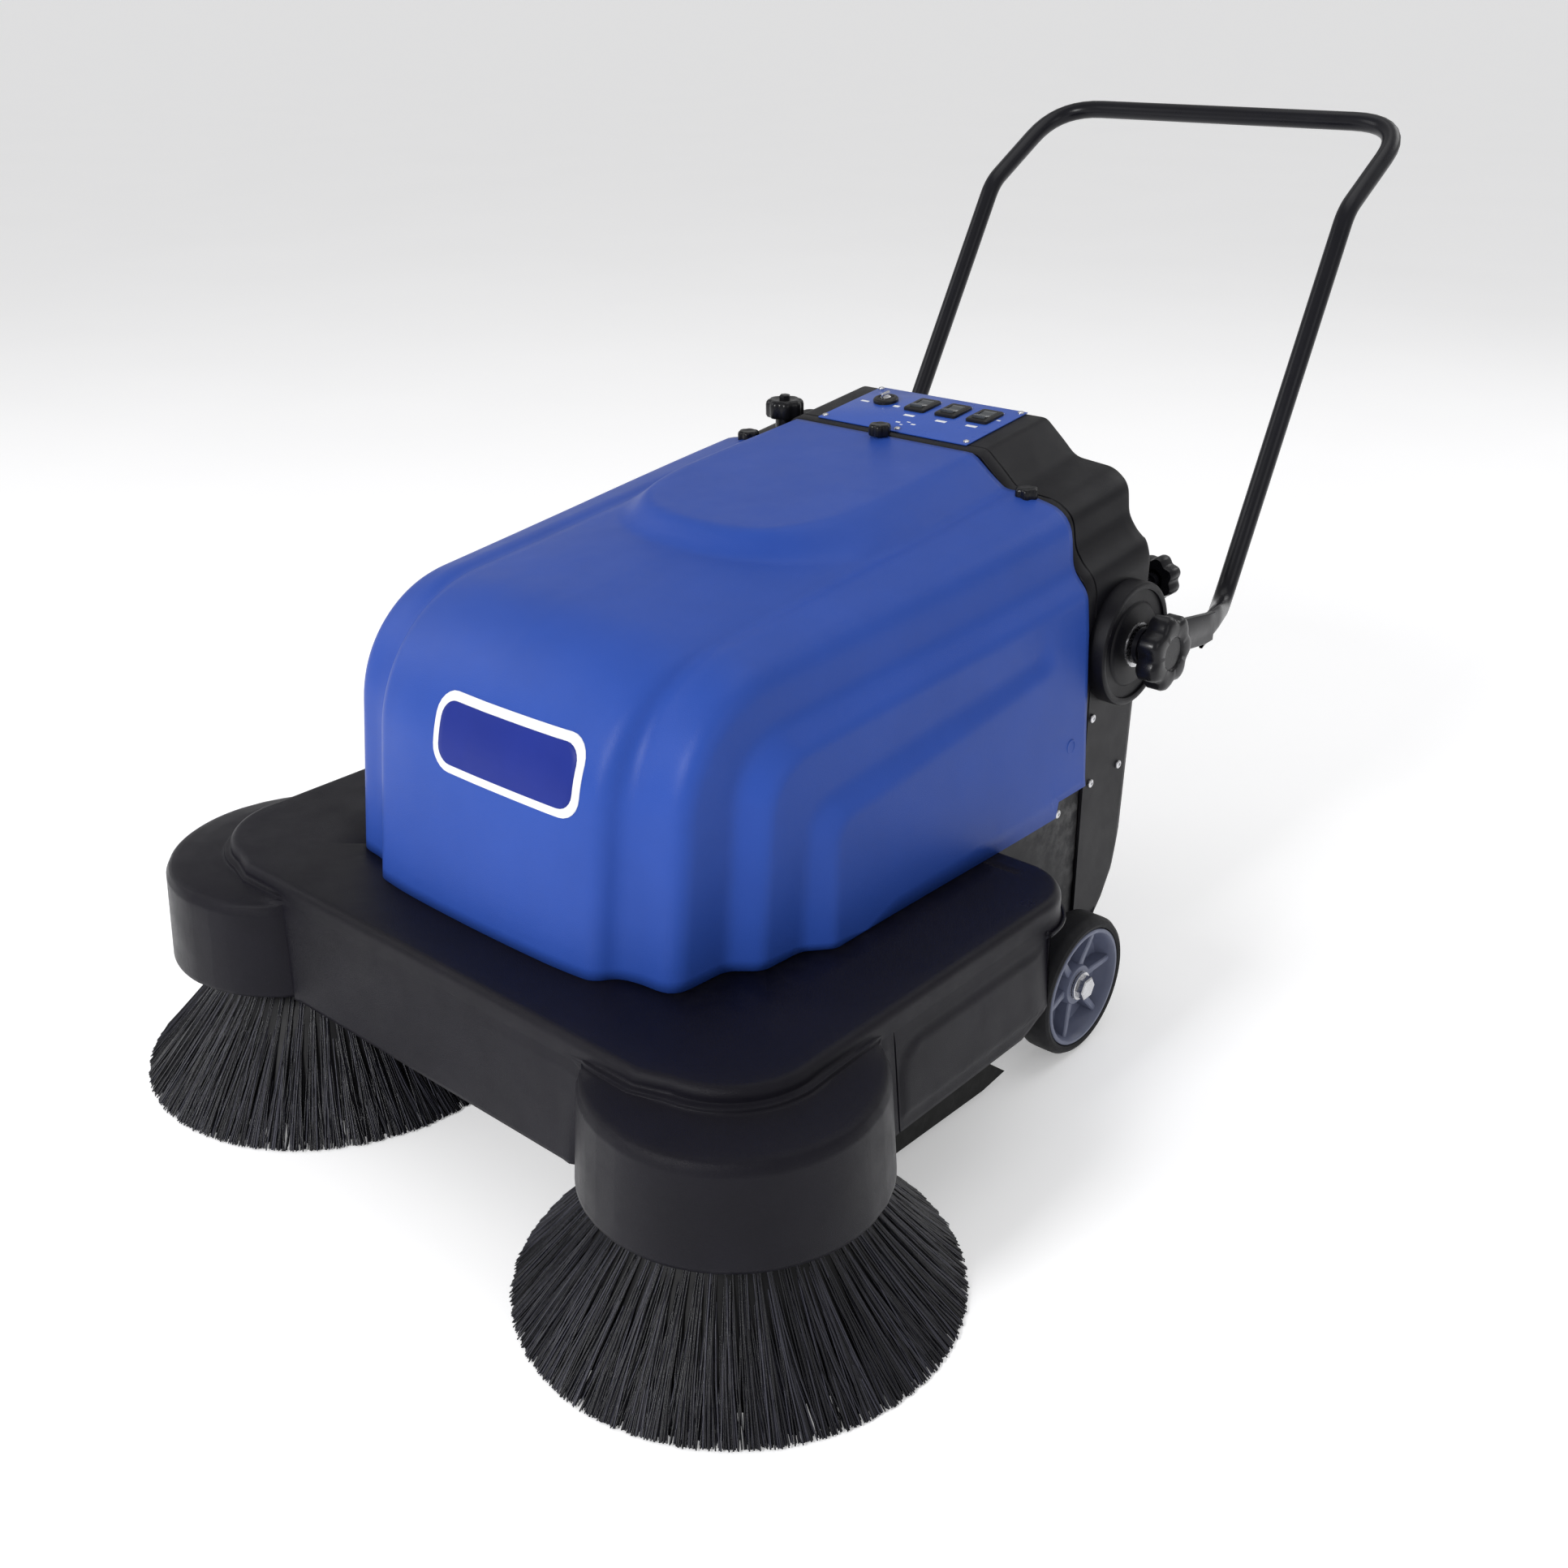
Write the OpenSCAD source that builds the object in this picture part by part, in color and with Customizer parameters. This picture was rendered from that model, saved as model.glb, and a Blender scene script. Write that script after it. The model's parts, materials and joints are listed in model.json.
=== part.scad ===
// Walk-behind battery sweeper with two side brushes and a cross roller.
// Millimetres, +Z up, front towards -Y, floor at z = 0.
// Inside the modules y is measured from the side-brush axes; at_datum() then
// moves everything so that the origin lies under the middle of the machine.

/* [Side brushes] */
// Half the distance between the two side-brush axes
brush_x = 295; // [285:1:300]
// Radius that the side-brush bristles cover on the floor
brush_r = 206; // [195:1:212]
// Gap between the bristle tips and the floor
tip_gap = 1; // [0.5:0.5:3]

/* [Deck] */
// Height of the deck's top face
deck_z = 263; // [260:1:266]
// Height of the deck's lower rim
rim_z = 141; // [138:1:144]
// Half the deck's width
deck_w = 378; // [372:1:382]
// Wall of the deck, hood and console mouldings
skin = 4; // [3:0.5:5]
// Radius of the round brush pods
pod_r = 135; // [130:1:139]
// Height of the pods' top face
pod_z = 237; // [230:1:242]

/* [Hood and console] */
// Rear edge of the hood
hood_back = 565; // [560:1:568]
// Height of the hood's bottom edge
hood_z = 263.5; // [263.5:0.5:265]
// Rear face of the console
console_back = 695; // [690:1:700]
// Half the console's width
console_w = 268; // [266:1:270]
// Tilt of the control panel, in degrees
panel_tilt = 7; // [4:1:9]

/* [Wheels] */
// Radius of the rear wheels
wheel_r = 78; // [75:1:80]
// Width of the rear wheels
wheel_w = 40; // [34:1:42]
// Outer face of the rear wheels, from the middle
wheel_x = 334; // [332:1:338]
// Position of the rear axle behind the side-brush axes
axle_y = 509; // [505:1:513]
// Radius of the front caster wheel
caster_r = 50; // [46:1:51]

/* [Handle] */
// Outer diameter of the handle tube
tube_d = 22; // [20:1:25]
// Height of the handle's cross bar
bar_z = 896; // [880:1:910]
// Position of the cross bar behind the side-brush axes
bar_y = 1267; // [1250:1:1280]
// Half the width of the handle over the arms' axes
arm_x = 248; // [244:1:252]

/* [Roller] */
// Radius of the roller brush over its bristles
roller_r = 101; // [98:1:101]
// Position of the roller behind the side-brush axes
roller_y = 330; // [328:1:332]

/* [Hidden] */

$fn = 48;
fit = 0.05;                       // radial clearance of a running fit
loose = 0.5;                      // gap between parts that pass each other
mid_y = (bar_y + tube_d / 2 - brush_r) / 2;

// Chassis
plate_x = 260;                    // inner face of the side plates
plate_t = 4;                      // their thickness
pan_z = 150;                      // underside of the floor pan
pan_t = 3;
roller_z = roller_r + tip_gap;
tunnel_r = 122;
pulley_x = 236;                   // plane of the belt drive
motor_z = 275;
big_pulley_r = 32;
small_pulley_r = 16;
belt_t = 4;

// Console
panel_y = 643.5;
panel_z = 621;
rocker_x = [-14, 28, 70];
rocker_y = 14;
key_x = -64;
key_y = 12;
bin_top = 335;
bin_w = 246;
mouth_w = 262.5;

// Caster
caster_y = 118;
trail = 26;                       // how far the wheel trails its swivel
caster_pin_r = 6;

// Handle
pivot_y = 638;
pivot_z = 421;
pivot_x = 292;                    // inner face of the flattened tube end
tab_t = 7;
tube_wall = 1.8;
pin_r = 6;
disc_r = 67;
disc_x = 288;                     // outer face of the pivot disc
crease = [257, 888, 390];         // where the flattened end meets the round tube
kink = [arm_x - 2, 1118, 810];    // where the arm turns into the grip section
corner_r = 70;                    // bend between grip section and cross bar

knob_points = [[-190, 562, 576.5], [0, 562, 613], [190, 562, 576.5]];
shaker_x = -178;
shaker_y = 612;
rear_knob_x = 246;
rear_knob_z = 458;

module at_datum() translate([0, -mid_y, 0]) children();
module both() for (side = [0, 1]) mirror([side, 0, 0]) children();

// A tube or rod along X that starts at x
module rod_x(x, y, z, r, len) translate([x, y, z]) rotate([0, 90, 0]) cylinder(r = r, h = len);

// A plate in the YZ plane that starts at x
module plate_yz(x, t, points) translate([x, 0, 0]) rotate([90, 0, 90]) linear_extrude(t) polygon(points);

// A round bar between two points
module bar(a, b, r) {
  d = b - a;
  len = norm(d);
  translate(a) rotate([0, acos(d[2] / len), atan2(d[1], d[0])]) cylinder(r = r, h = len);
}

// A six-lobed hand knob that stands on z = 0
module star_knob(r, h, lobes = 6) {
  cylinder(r = r * 0.78, h = h);
  for (i = [0 : lobes - 1]) rotate(i * 360 / lobes) translate([r * 0.76, 0, 0]) cylinder(r = r * 0.24, h = h);
}

// ---------------------------------------------------------------- chassis
module side_plate() {
  plate_yz(plate_x, plate_t, [
    [206, 62], [580, 62], [606, 84], [630, 92], [648, 112], [664, 143], [664, 445], [600, 445],
    [600, 402], [420, 402], [420, deck_z - skin], [190, deck_z - skin], [190, pan_z]
  ]);
}

module chassis_frame() at_datum() color("dimgray") {
  difference() {
    union() {
      both() {
        side_plate();
        rod_x(plate_x + plate_t, axle_y, wheel_r, 20, wheel_x - wheel_w - 4 - plate_x - plate_t);
        translate([plate_x + plate_t, 206, 128]) cube([40, 174, 3]);
        // rail for the dust bin
        translate([plate_x - 10, 470, 290]) cube([10, 185, 6]);
      }
      translate([-plate_x, -85, pan_z]) cube([2 * plate_x, 289, pan_t]);
      translate([-345, -55, pan_z]) cube([690, 110, pan_t]);
      translate([-plate_x, 440, 80]) cube([2 * plate_x, 10, 16]);
      translate([-plate_x, 440, 62]) cube([2 * plate_x, 4, 18]);
    }
    both() {
      translate([brush_x, 0, pan_z - 1]) cylinder(r = 22, h = pan_t + 2);
      rod_x(plate_x - 1, roller_y, roller_z, 24, plate_t + 2);
      rod_x(plate_x - 1, axle_y, wheel_r, 10 + fit, 60);
      rod_x(plate_x - 1, pivot_y, pivot_z, pin_r + fit, plate_t + 2);
    }
    translate([0, caster_y, pan_z - 1]) cylinder(r = 14, h = pan_t + 2);
  }
}

// ---------------------------------------------------------------- deck
module deck_outline() {
  hull() {
    for (s = [-1, 1]) {
      translate([s * (deck_w - 85), -2]) circle(r = 85);
      translate([s * (deck_w - 60), 354]) circle(r = 60);
    }
    translate([0, 2]) circle(r = 100);
  }
}

module pod_at(r, z0, z1) both() translate([309, -17, z0]) cylinder(r = r, h = z1 - z0);

module deck_cover() at_datum() color([0.09, 0.09, 0.1]) difference() {
  union() {
    translate([0, 0, rim_z]) linear_extrude(deck_z - rim_z) deck_outline();
    pod_at(pod_r, rim_z - 1, pod_z);
  }
  translate([0, 0, rim_z - 5]) linear_extrude(deck_z - rim_z + 5 - skin) offset(delta = -skin) deck_outline();
  pod_at(pod_r - skin, rim_z - 5, pod_z - skin);
  // opening under the hood, stepped like the hood's own edge
  for (p = [[205, 20], [240, 100], [263, 165]])
    translate([-p[0], p[1], deck_z - 10]) cube([2 * p[0], 500, 20]);
  // room for the rear wheels
  both() plate_yz(plate_x + plate_t, 200, [[303, 130], [345, 168], [346, 234], [430, 234], [430, 130]]);
  // the rear wall is open between the side plates
  translate([-plate_x - plate_t, 380, rim_z - 10]) cube([2 * (plate_x + plate_t), 60, 140]);
}

// ---------------------------------------------------------------- hood
lean = 6;                         // how far the hood's front leans back, degrees
roof = 5.5;                       // slope of its roof, degrees

// Side outline of one hood layer, as [y, z] points, inset by a wall
function layer_outline(front, top, r, inset = 0) =
  let(f = front + inset / cos(lean), t = top - inset / cos(roof), q = max(r - inset, 5))
  let(kf = tan(lean), kt = tan(roof))
  let(cy = (f + kf * (t - hood_back * kt - q / cos(roof) - hood_z) + q / cos(lean)) / (1 - kf * kt))
  let(cz = t + (cy - hood_back) * kt - q / cos(roof))
  concat(
    [[f - kf * inset * 3, hood_z - inset * 3]],
    [for (i = [0 : 8]) let(a = 180 - lean - i * (90 - lean - roof) / 8) [cy + q * cos(a), cz + q * sin(a)]],
    [[hood_back + inset * 3, t + inset * 3 * kt], [hood_back + inset * 3, hood_z - inset * 3]]
  );

// Half width, front, rear height and corner radius of each layer, from the core outwards
hood_layers = [
  [154, -34, 583, 146], [222, 11, 576, 118], [256, 80, 512, 58], [280, 146, 446, 30], [270, 490, 497, 12]
];

module hood_body(inset) {
  for (l = hood_layers)
    plate_yz(-l[0] + inset, 2 * (l[0] - inset), layer_outline(l[1], l[2], l[3], inset));
  // raised plateau towards the rear of the roof
  plate_yz(-130 + inset, 2 * (130 - inset), [
    [264 + inset, 520], [264 + inset, 558 - inset], [290 + inset, 584 - inset],
    [hood_back + inset * 3, 611 - inset], [hood_back + inset * 3, 520]
  ]);
}

module hood() at_datum() color([0.12, 0.25, 0.72]) difference() {
  hood_body(0);
  hood_body(skin);
  // notch over the frame at the rear lower corners
  translate([-300, 513, 200]) cube([600, 60, 81]);
  for (p = knob_points) translate([p[0], p[1], p[2] - 60]) cylinder(r = 4, h = 100);
}

module hood_knob(p) at_datum() translate(p) color([0.06, 0.06, 0.07]) {
  star_knob(12.5, 12);
  translate([0, 0, -30]) cylinder(r = 3, h = 31);
}
module hood_knob_left() hood_knob(knob_points[0]);
module hood_knob_centre() hood_knob(knob_points[1]);
module hood_knob_right() hood_knob(knob_points[2]);

// ---------------------------------------------------------------- console
// Side outline of the console and dust bin, as [y, z] points
side_outline = [
  [584, 640], [584, 100], [602, 86], [628, 92], [650, 114], [668, 143], [676, 180], [683, 340],
  [console_back, 470], [console_back, 660]
];

// Half of the console's cross outline, right side, below the panel face
function section_half(w) = [
  [126, 0], [150, -20], [166, -35], [214, -39], [234, -52], [239, -84], [250, -99], [262, -108],
  [w, -122], [w, -620]
];
function mirrored(points) = [for (i = [len(points) - 1 : -1 : 0]) [-points[i][0], points[i][1]]];

module section_prism() translate([0, panel_y, panel_z]) rotate([90 + panel_tilt, 0, 0])
  translate([0, 0, -250]) linear_extrude(500) children();

module console_solid() intersection() {
  section_prism() polygon(concat(section_half(console_w), mirrored(section_half(console_w))));
  plate_yz(-300, 600, side_outline);
}

module console_hollow() intersection() {
  section_prism() offset(delta = -skin) polygon(concat(section_half(console_w), mirrored(section_half(console_w))));
  plate_yz(-300, 600, [[500, 640], [500, 60], [700, 60], [679, 340], [console_back - skin, 470], [console_back - skin, 660]]);
}

// Lip that reaches forwards under the hood's rear edge
module console_lip() difference() {
  intersection() {
    hood_body(skin + loose);
    translate([-300, 545, 290]) cube([600, 25, 400]);
  }
  hood_body(2 * skin + loose);
}

module console_shell() at_datum() color([0.07, 0.07, 0.08]) difference() {
  union() {
    difference() {
      union() {
        console_solid();
        // front band up to the hood's edge
        intersection() {
          section_prism() polygon(concat(section_half(console_w), mirrored(section_half(console_w))));
          translate([-300, hood_back + 1.5, 282]) cube([600, 20, 400]);
        }
      }
      console_hollow();
    }
    console_lip();
  }
  // dust bin mouth
  translate([-mouth_w, 590, 40]) cube([2 * mouth_w, 200, bin_top + 6 - 40]);
  for (p = knob_points) translate([p[0], p[1], p[2] - 60]) cylinder(r = 3 + fit, h = 100);
  for (s = [-1, 1]) rod_x(s * (console_w - 8) - 10, pivot_y, pivot_z, pin_r + fit, 20);
  // shaker rod, rear knob stud, key switch and rocker holes
  translate([shaker_x, shaker_y, 500]) cylinder(r = 8, h = 140);
  translate([rear_knob_x, 640, rear_knob_z]) rotate([-90, 0, 0]) cylinder(r = 5 + fit, h = 80);
  on_panel() {
    translate([key_x, key_y, -10]) cylinder(r = 9, h = 20);
    for (x = rocker_x) translate([x - 10, rocker_y - 14, -10]) cube([20, 28, 20]);
  }
}

module on_panel() translate([0, panel_y, panel_z]) rotate([panel_tilt, 0, 0]) children();

module control_panel() at_datum() color([0.14, 0.28, 0.72]) on_panel() difference() {
  translate([-101, -64, 0]) cube([202, 115, 1.5]);
  translate([key_x, key_y, -5]) cylinder(r = 9, h = 20);
  for (x = rocker_x) translate([x - 10, rocker_y - 14, -5]) cube([20, 28, 20]);
}

module screw_head(r = 3.5, h = 2) cylinder(r = r, h = h);

module cover_screws() at_datum() color("silver") {
  on_panel() translate([0, 0, 1.5]) {
    for (x = [-96, 96], y = [-57, 45]) translate([x, y, 0]) screw_head();
    translate([5, -57, 0]) screw_head();
  }
  both() for (p = [[592, 346], [655, 271], [598, 268]])
    translate([console_w, p[0], p[1]]) rotate([0, 90, 0]) screw_head(5, 3);
  both() translate([plate_x + plate_t, 541, 251]) rotate([0, 90, 0]) screw_head(5, 3);
}

module key_switch() at_datum() color([0.1, 0.1, 0.1]) on_panel() translate([key_x, key_y, 1.5]) difference() {
  union() {
    cylinder(r = 14.5, h = 5);
    translate([0, 0, -26.5]) cylinder(r = 9 - fit, h = 28);
  }
  translate([0, 0, -12]) cylinder(r = 6 + fit, h = 30);
}

module switch_key() at_datum() color("silver") on_panel() translate([key_x, key_y, 1.5]) {
  translate([0, 0, -11.5]) cylinder(r = 6, h = 17.5);
  translate([-1.5, -7, 5.5]) cube([3, 14, 5]);
}

module rocker_bezels() at_datum() color([0.05, 0.05, 0.05]) on_panel() for (x = rocker_x) difference() {
  union() {
    translate([x - 14, rocker_y - 18, 1.5]) cube([28, 36, 4]);
    translate([x - 10 + fit, rocker_y - 14 + fit, -22]) cube([20 - 2 * fit, 28 - 2 * fit, 24]);
  }
  translate([x - 8.5, rocker_y - 13, -8]) cube([17, 26, 20]);
  rod_x(x - 9.5, rocker_y, 3.5, 1.5 + fit, 19);
}

module rocker(x) at_datum() color([0.3, 0.3, 0.32]) on_panel() translate([x, rocker_y, 3.5]) {
  rotate([90, 0, 90]) translate([0, 0, -8]) linear_extrude(16)
    polygon([[-11.5, 1.5], [-11.2, 4.5], [0, 2.6], [11.2, 6.2], [11.8, 2.5], [4, -3], [-4, -3]]);
  rod_x(-9, 0, 0, 1.5, 18);
}
module rocker_1() rocker(rocker_x[0]);
module rocker_2() rocker(rocker_x[1]);
module rocker_3() rocker(rocker_x[2]);

// ---------------------------------------------------------------- power and suction
module battery() at_datum() color([0.15, 0.15, 0.16]) {
  translate([-165, 34, pan_z + pan_t]) cube([330, 164, 205]);
  for (x = [-120, 120]) translate([x, 60, pan_z + pan_t + 205]) cylinder(r = 8, h = 14);
}

module battery_strap() at_datum() color("gray") {
  translate([-15, 31, pan_z + pan_t]) cube([30, 3, 208]);
  translate([-15, 34, pan_z + pan_t + 205]) cube([30, 164, 3]);
  translate([-15, 198, pan_z + pan_t]) cube([30, 3, 208]);
}

module cable(points) {
  for (i = [0 : len(points) - 2]) bar(points[i], points[i + 1], 4);
  for (i = [1 : len(points) - 2]) translate(points[i]) sphere(r = 4);
}

module battery_cables() at_datum() color("firebrick") {
  cable([[120, 60, 372], [120, 60, 420], [120, 560, 420]]);
  cable([[-120, 60, 372], [-120, 60, 436], [140, 60, 436], [140, 560, 436]]);
}

module controller_box() at_datum() color("darkslategray") translate([100, 560, 398]) cube([130, 100, 60]);

module filter_box() at_datum() color([0.25, 0.25, 0.27]) difference() {
  translate([-plate_x, 424, 343]) cube([2 * plate_x, 232, 55]);
  translate([-plate_x + 4, 428, 340]) cube([2 * plate_x - 8, 224, 54]);
  translate([0, 500, 390]) cylinder(r = 50, h = 20);
  translate([shaker_x, shaker_y, 390]) cylinder(r = 5 + fit, h = 20);
}

module filter_element() at_datum() color("wheat") translate([-plate_x + 5, 429, 344]) cube([2 * plate_x - 10, 222, 16]);

module fan_housing() at_datum() color([0.2, 0.2, 0.22]) translate([0, 500, 398]) difference() {
  union() {
    cylinder(r = 75, h = 48);
    translate([-75, 0, 8]) cube([30, 100, 32]);
    translate([0, 0, 48]) cylinder(r = 42, h = 75);
  }
  translate([0, 0, -1]) cylinder(r = 50, h = 10);
  translate([0, 0, 6]) cylinder(r = 71, h = 38);
  translate([-71, 0, 12]) cube([22, 101, 24]);
  translate([0, 0, 40]) cylinder(r = 5 + fit, h = 60);
}

module fan_impeller() at_datum() color("silver") translate([0, 500, 398]) {
  translate([0, 0, 10]) cylinder(r = 62, h = 3);
  for (i = [0 : 9]) rotate(i * 36) translate([20, -1.5, 12]) cube([41, 3, 23]);
  translate([0, 0, 10]) cylinder(r = 5, h = 83);
}

module shaker_knob() at_datum() translate([shaker_x, shaker_y, 0]) color([0.06, 0.06, 0.07]) {
  translate([0, 0, 363]) cylinder(r = 5, h = 240);
  translate([0, 0, 362]) cylinder(r = 30, h = 4);
  translate([0, 0, 585]) cylinder(r = 11, h = 16);
  translate([0, 0, 598]) cylinder(r = 22, h = 20);
  translate([0, 0, 617]) cylinder(r = 6.5, h = 6, $fn = 6);
}

module rear_knob() at_datum() translate([rear_knob_x, 0, rear_knob_z]) rotate([-90, 0, 0]) color([0.06, 0.06, 0.07]) {
  translate([0, 0, 665]) cylinder(r = 5, h = 72);
  translate([0, 0, 736]) star_knob(26, 24);
}

// ---------------------------------------------------------------- roller
module roller_tunnel() at_datum() color("slategray") difference() {
  union() {
    intersection() {
      difference() {
        rod_x(-plate_x, roller_y, roller_z, tunnel_r + 2, plate_x + 222);
        rod_x(-plate_x - 1, roller_y, roller_z, tunnel_r, plate_x + 240);
      }
      translate([-300, 0, roller_z]) cube([600, 600, 300]);
    }
    translate([220, 0, 0]) intersection() {
      rod_x(0, roller_y, roller_z, tunnel_r + 1, 2);
      translate([0, 0, 90]) cube([2, 600, 300]);
    }
  }
  translate([210, roller_y - 12, 40]) cube([20, 24, roller_z - 40 + 12]);
  // mouth towards the dust bin
  translate([-300, roller_y, roller_z - 20]) cube([600, 200, 105]);
}

module roller_bearings() at_datum() color("silver") both() difference() {
  union() {
    rod_x(plate_x - 10, roller_y, roller_z, 20, 14);
    rod_x(plate_x - 4, roller_y, roller_z, 32, 4);
  }
  rod_x(plate_x - 12, roller_y, roller_z, 8 + fit, 20);
}

module roller_core() at_datum() color("black") {
  rod_x(-246, roller_y, roller_z, 45, 462);
  rod_x(-plate_x - 2, roller_y, roller_z, 8, 2 * plate_x + 4);
  rod_x(pulley_x - 8, roller_y, roller_z, big_pulley_r, 14);
}

module roller_bristles() at_datum() color([0.12, 0.12, 0.13]) difference() {
  rod_x(-244, roller_y, roller_z, roller_r, 458);
  rod_x(-250, roller_y, roller_z, 45, 470);
}

module roller_motor() at_datum() color("dimgray") difference() {
  union() {
    rod_x(70, roller_y, motor_z, 40, 150);
    translate([80, roller_y - 40, roller_z + tunnel_r]) cube([120, 80, 40]);
  }
  rod_x(60, roller_y, motor_z, 6 + fit, 200);
  rod_x(70, roller_y, roller_z, tunnel_r + 2, 200);
}

module motor_pulley() at_datum() color("silver") {
  rod_x(150, roller_y, motor_z, 6, 98);
  rod_x(pulley_x - 8, roller_y, motor_z, small_pulley_r, 16);
}

// Flat belt round both pulleys
module belt_loop(gap) {
  rise = motor_z - roller_z;
  tilt = asin((big_pulley_r - small_pulley_r) / rise);
  rb = big_pulley_r + gap;
  rs = small_pulley_r + gap;
  circle(r = rb);
  translate([0, rise]) circle(r = rs);
  polygon([
    [rb * cos(tilt), rb * sin(tilt)], [rs * cos(tilt), rise + rs * sin(tilt)],
    [-rs * cos(tilt), rise + rs * sin(tilt)], [-rb * cos(tilt), rb * sin(tilt)]
  ]);
}

module drive_belt() at_datum() color([0.1, 0.1, 0.1]) translate([pulley_x - 6, roller_y, roller_z]) rotate([90, 0, 90])
  linear_extrude(10) difference() {
    belt_loop(0.4 + belt_t);
    belt_loop(0.4);
  }

// ---------------------------------------------------------------- side brushes
module side_motor() translate([brush_x, 0, pan_z + pan_t]) difference() {
  union() {
    cylinder(r = 42, h = 25);
    translate([0, 0, 25]) cylinder(r = 33, h = 48);
  }
  translate([0, 0, -1]) cylinder(r = 8 + fit, h = 42);
}
module side_motor_right() at_datum() color("gray") side_motor();
module side_motor_left() at_datum() color("gray") mirror([1, 0, 0]) side_motor();

module brush_disc() translate([brush_x, 0, 128]) {
  cylinder(r = 102, h = 11);
  translate([0, 0, 11]) cylinder(r = 18, h = 12);
  cylinder(r = 8, h = 60);
}
module brush_disc_right() at_datum() color("black") brush_disc();
module brush_disc_left() at_datum() color("black") mirror([1, 0, 0]) brush_disc();

// Cone of bristles, open in the middle
module bristle_cone() translate([brush_x, 0, 0]) rotate_extrude()
  polygon([[58, 128], [98, 128], [160, 60], [brush_r, tip_gap], [brush_r - 46, tip_gap], [118, 52]]);
module bristles_right() at_datum() color([0.14, 0.14, 0.15]) bristle_cone();
module bristles_left() at_datum() color([0.14, 0.14, 0.15]) mirror([1, 0, 0]) bristle_cone();

// ---------------------------------------------------------------- skirts
module side_skirts() at_datum() color([0.08, 0.08, 0.08]) both()
  plate_yz(plate_x + plate_t + 36, 4, [[206, 14], [366, 8], [406, 12], [372, 40], [372, 128], [206, 128]]);

module cross_skirts() at_datum() color([0.08, 0.08, 0.08]) {
  translate([-plate_x + 2, 200, 12]) cube([2 * plate_x - 4, 4, pan_z - 12]);
  translate([-plate_x + 2, 444, 8]) cube([2 * plate_x - 4, 4, 72]);
}

// ---------------------------------------------------------------- wheels
module right_wheel() translate([wheel_x - wheel_w, axle_y, wheel_r]) rotate([0, 90, 0]) children();

module tyre() right_wheel() rotate_extrude()
  polygon([[66, 2], [72, 0], [76, 4], [wheel_r, 10], [wheel_r, wheel_w - 10], [76, wheel_w - 4], [72, wheel_w], [66, wheel_w - 2]]);
module tyre_right() at_datum() color([0.05, 0.05, 0.05]) tyre();
module tyre_left() at_datum() color([0.05, 0.05, 0.05]) mirror([1, 0, 0]) tyre();

module wheel_hub() right_wheel() difference() {
  union() {
    difference() {
      translate([0, 0, 3]) cylinder(r = 66, h = wheel_w - 5);
      translate([0, 0, 2]) cylinder(r = 59, h = wheel_w);
    }
    translate([0, 0, 14]) cylinder(r = 60, h = 6);
    cylinder(r = 22, h = wheel_w - 8);
    for (i = [0 : 5]) rotate(i * 60 + 30) translate([18, -2, 17]) cube([44, 4, 13.5]);
  }
  translate([0, 0, -1]) cylinder(r = 11, h = wheel_w);
  translate([0, 0, -1]) cylinder(r = 16, h = 9);
  translate([0, 0, wheel_w - 16]) cylinder(r = 16, h = 9);
}
module wheel_hub_right() at_datum() color([0.42, 0.45, 0.55]) wheel_hub();
module wheel_hub_left() at_datum() color([0.42, 0.45, 0.55]) mirror([1, 0, 0]) wheel_hub();

module wheel_bearings() right_wheel() for (x = [0, wheel_w - 16]) translate([0, 0, x]) difference() {
  cylinder(r = 16, h = 8);
  translate([0, 0, -1]) cylinder(r = 10 + fit, h = 10);
}
module wheel_bearings_right() at_datum() color("silver") wheel_bearings();
module wheel_bearings_left() at_datum() color("silver") mirror([1, 0, 0]) wheel_bearings();

module axle_bolts() at_datum() color("silver") both() {
  rod_x(plate_x - 10, axle_y, wheel_r, 10, wheel_x - plate_x + 6);
  rod_x(wheel_x - 7, axle_y, wheel_r, 16, 3);
  translate([wheel_x - 4, axle_y, wheel_r]) rotate([0, 90, 0]) cylinder(r = 13, h = 8, $fn = 6);
  translate([plate_x - 12, axle_y, wheel_r]) rotate([0, 90, 0]) cylinder(r = 16, h = 12, $fn = 6);
}

// ---------------------------------------------------------------- caster
module at_caster() translate([0, caster_y, 0]) children();

module caster_plate() at_datum() color("silver") at_caster() difference() {
  union() {
    translate([-42, -42, pan_z - 4]) cube([84, 84, 4]);
    translate([0, 0, 137]) cylinder(r = 24, h = 10);
  }
  translate([0, 0, 130]) cylinder(r = caster_pin_r + fit, h = 30);
}

module caster_fork() at_datum() color("silver") at_caster() {
  translate([0, 0, 131]) cylinder(r = 24, h = 5.5);
  translate([0, 0, 131]) cylinder(r = caster_pin_r, h = 21);
  for (x = [-21, 17]) difference() {
    plate_yz(x, 4, [
      [-20, 132], [20, 132], [trail + 14, caster_r + 4], [trail + 8, caster_r - 12],
      [trail - 8, caster_r - 12], [trail - 14, caster_r + 4]
    ]);
    rod_x(x - 1, trail, caster_r, 4 + fit, 6);
  }
}

module caster_wheel() at_datum() color([0.2, 0.2, 0.2]) at_caster() {
  rod_x(-14, trail, caster_r, caster_r, 28);
  rod_x(-24, trail, caster_r, 4, 48);
}

// ---------------------------------------------------------------- handle
module pivot_disc() difference() {
  union() {
    rod_x(console_w, pivot_y, pivot_z, disc_r, disc_x - console_w);
  }
  rod_x(console_w - 1, pivot_y, pivot_z, pin_r + fit, 40);
  // curved slot in the front half of the face
  translate([disc_x - 6, pivot_y, pivot_z]) rotate([0, 90, 0]) rotate(165) rotate_extrude(angle = 100)
    translate([44, 0]) square([10, 20]);
}
module pivot_disc_right() at_datum() color([0.06, 0.06, 0.07]) pivot_disc();
module pivot_disc_left() at_datum() color([0.06, 0.06, 0.07]) mirror([1, 0, 0]) pivot_disc();

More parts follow.
